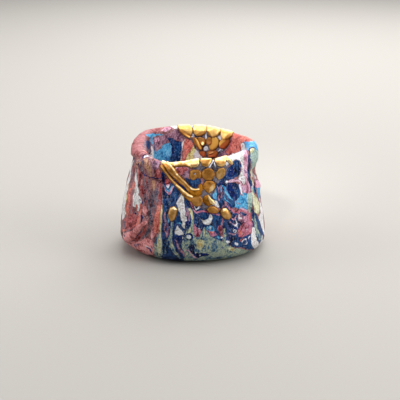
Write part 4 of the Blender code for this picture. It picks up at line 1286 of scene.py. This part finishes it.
gold_material, tree, shader = new_material("powdered_gold_on_lacquer", Metallic=1.0, Roughness=0.3)
place = add(tree, "TexCoord", take="Object")
inwards, polish, warmth = (add(tree, "Attribute", take="Fac", attribute_name=name) for name in MEND_VALUES)
grains = add(tree, "TexNoise", {"Vector": place, "Scale": 1.0 / POWDER, "Detail": 3.0, "Roughness": 0.6})
ripples = add(tree, "TexNoise", {"Vector": place, "Scale": 1.0 / RIPPLES, "Detail": 2.0, "Roughness": 0.5})
mottle = add(tree, "Mix", {"Factor": 0.5, "A": ripples, "B": grains})
gilt = add(tree, "ValToRGB", {"Fac": mottle}, stops=DULL_GOLD)
bright = add(tree, "ValToRGB", {"Fac": ripples}, stops=BRIGHT_GOLD)
amber = add(tree, "ValToRGB", {"Fac": ripples}, stops=AMBER)
amber = add(tree, "Mix", {0: polish, 6: amber, 7: colour(POLISHED_AMBER)}, take=2, data_type="RGBA")
warm = add(tree, "MapRange", {"Value": warmth, "From Max": 0.5})
red = add(tree, "MapRange", {"Value": warmth, "From Min": 0.5})
for share, over in ((polish, bright), (warm, amber), (red, colour(RED_LACQUER))):
    gilt = add(tree, "Mix", {0: share, 6: gilt, 7: over}, take=2, data_type="RGBA")
within = add(tree, "MapRange", {"Value": inwards, "From Max": 0.3})
gilt = add(tree, "Mix", {0: within, 6: colour(BROWN_LACQUER), 7: gilt}, take=2, data_type="RGBA")
metal = add(tree, "MapRange", {"Value": warm, "To Min": 1.0, "To Max": 0.2})
rough = add(tree, "MapRange", {"Value": polish, "To Min": 0.5, "To Max": 0.34})
uneven = {"Value": grains, "From Min": 0.3, "From Max": 0.7, "To Min": 0.85, "To Max": 1.2}
rough = add(tree, "Math", {0: rough, 1: add(tree, "MapRange", uneven)}, operation="MULTIPLY")
relief = add(tree, "Mix", {"Factor": 0.25, "A": ripples, "B": grains})
bump = add(tree, "Bump", {"Height": relief, "Strength": 0.1, "Distance": 0.12 * MM})
for key, value in (("Base Color", gilt), ("Metallic", metal), ("Roughness", rough), ("Normal", bump)):
    tree.links.new(value, shader.inputs[key])

front_mend = make_mend("front_mend", FRONT_MEND, -1, turns=(-130.0, -44.0), downs=(-5.0, 28.0))
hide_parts("gold_repair_front")
back_mend = make_mend("back_mend", BACK_MEND, 1, turns=(34.0, 126.0), downs=(-23.0, 18.0))
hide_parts("gold_repair_back")

# The lone drops: beads of lacquer that ran down the wall, domed, and pointed at their lower end. Each
# has its outline, a bright facet at its top, and the turns and distances between which it lies.
DROP_DOME = (1.35, 4.2, 0.25, 0.1)
DROP_FACET = (1.2, 1.2, 1.0, 0.0)
DROPS = (
    (
        "left_drop", "gold_drop_left",
        patch(708, 1070, 742, 1066, 776, 1096, 768, 1140, 748, 1194, 716, 1216, 690, 1182, 684, 1134,
            694, 1094),
        patch(708, 1082, 742, 1064, 772, 1092, 748, 1102, 718, 1104),
        (-113.0, -101.0), (17.0, 30.0),
    ),
    (
        "right_drop", "gold_drop_right",
        patch(1200, 1114, 1218, 1084, 1256, 1080, 1292, 1116, 1312, 1160, 1286, 1194, 1248, 1190,
            1212, 1156),
        patch(1212, 1120, 1222, 1086, 1256, 1080, 1276, 1104, 1256, 1128, 1226, 1136),
        (-70.0, -50.0), (18.0, 31.0),
    ),
)
for name, node, outline, facet, turns, downs in DROPS:
    drop = make_mend(name, ((outline, *DROP_DOME), (facet, *DROP_FACET)), -1, turns, downs)
    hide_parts(node)


# The floor, the light and the camera: a plain pale sweep, a large soft panel above with smaller lamps
# behind and at both sides, and the eye where the marbling was laid out from
FLOOR_SIZE = 1.6

floor_edit = bmesh.new()
bmesh.ops.create_grid(floor_edit, x_segments=2, y_segments=2, size=FLOOR_SIZE / 2.0)
floor_mesh = bpy.data.meshes.new("floor")
floor_edit.to_mesh(floor_mesh)
floor_edit.free()
floor = bpy.data.objects.new("floor", floor_mesh)
bpy.context.scene.collection.objects.link(floor)
floor_material, _, _ = new_material("pale_paper", Base_Color=colour("#a8a49e"), Roughness=0.9)
floor_mesh.materials.append(floor_material)

LAMPS = (
    ("panel_above", (0.1, 0.1, 0.6), 1.0, 6.4),
    ("behind", (0.1, 0.5, 0.4), 0.5, 3.0),
    ("right", (0.5, -0.2, 0.3), 0.3, 1.35),
    ("left", (-0.5, 0.0, 0.3), 0.3, 1.0),
)
LAMP_AIM = (0.0, 0.0, 0.025)


def hang_lamp(name, kind, place, aim, watts):
    """A lamp at its place, in metres, turned towards its aim."""
    lamp = bpy.data.lights.new(name, kind)
    lamp.energy = watts
    holder = bpy.data.objects.new(name, lamp)
    holder.location = place
    holder.rotation_euler = (Vector(aim) - holder.location).to_track_quat("-Z", "Y").to_euler()
    bpy.context.scene.collection.objects.link(holder)
    return lamp


for name, place, size, watts in LAMPS:
    hang_lamp(name, "AREA", place, LAMP_AIM, watts).size = size

# A narrow lamp over the front lip reaches the far wall of the cup's inside, which the others leave dark
fill = hang_lamp("fill_inside", "SPOT", (-0.15, -0.42, 0.42), (0.013, 0.031, 0.044), 17.0)
fill.shadow_soft_size = 0.04
fill.spot_size = 0.09
fill.spot_blend = 0.35

world = bpy.data.worlds.new("studio")
world.use_nodes = True
world.node_tree.nodes["Background"].inputs["Color"].default_value = colour("#e8ebf0")
world.node_tree.nodes["Background"].inputs["Strength"].default_value = 0.28
bpy.context.scene.world = world

view = bpy.data.cameras.new("view")
view.lens = PIXELS_A_MM * EYE_AWAY * view.sensor_width / (2.0 * PHOTO_MIDDLE)
camera = bpy.data.objects.new("view", view)
camera.location = EYE * MM
camera.rotation_euler = (math.pi / 2.0 - LOOK_DOWN, 0.0, 0.0)
bpy.context.scene.collection.objects.link(camera)
bpy.context.scene.camera = camera
bpy.context.scene.view_settings.view_transform = "Standard"
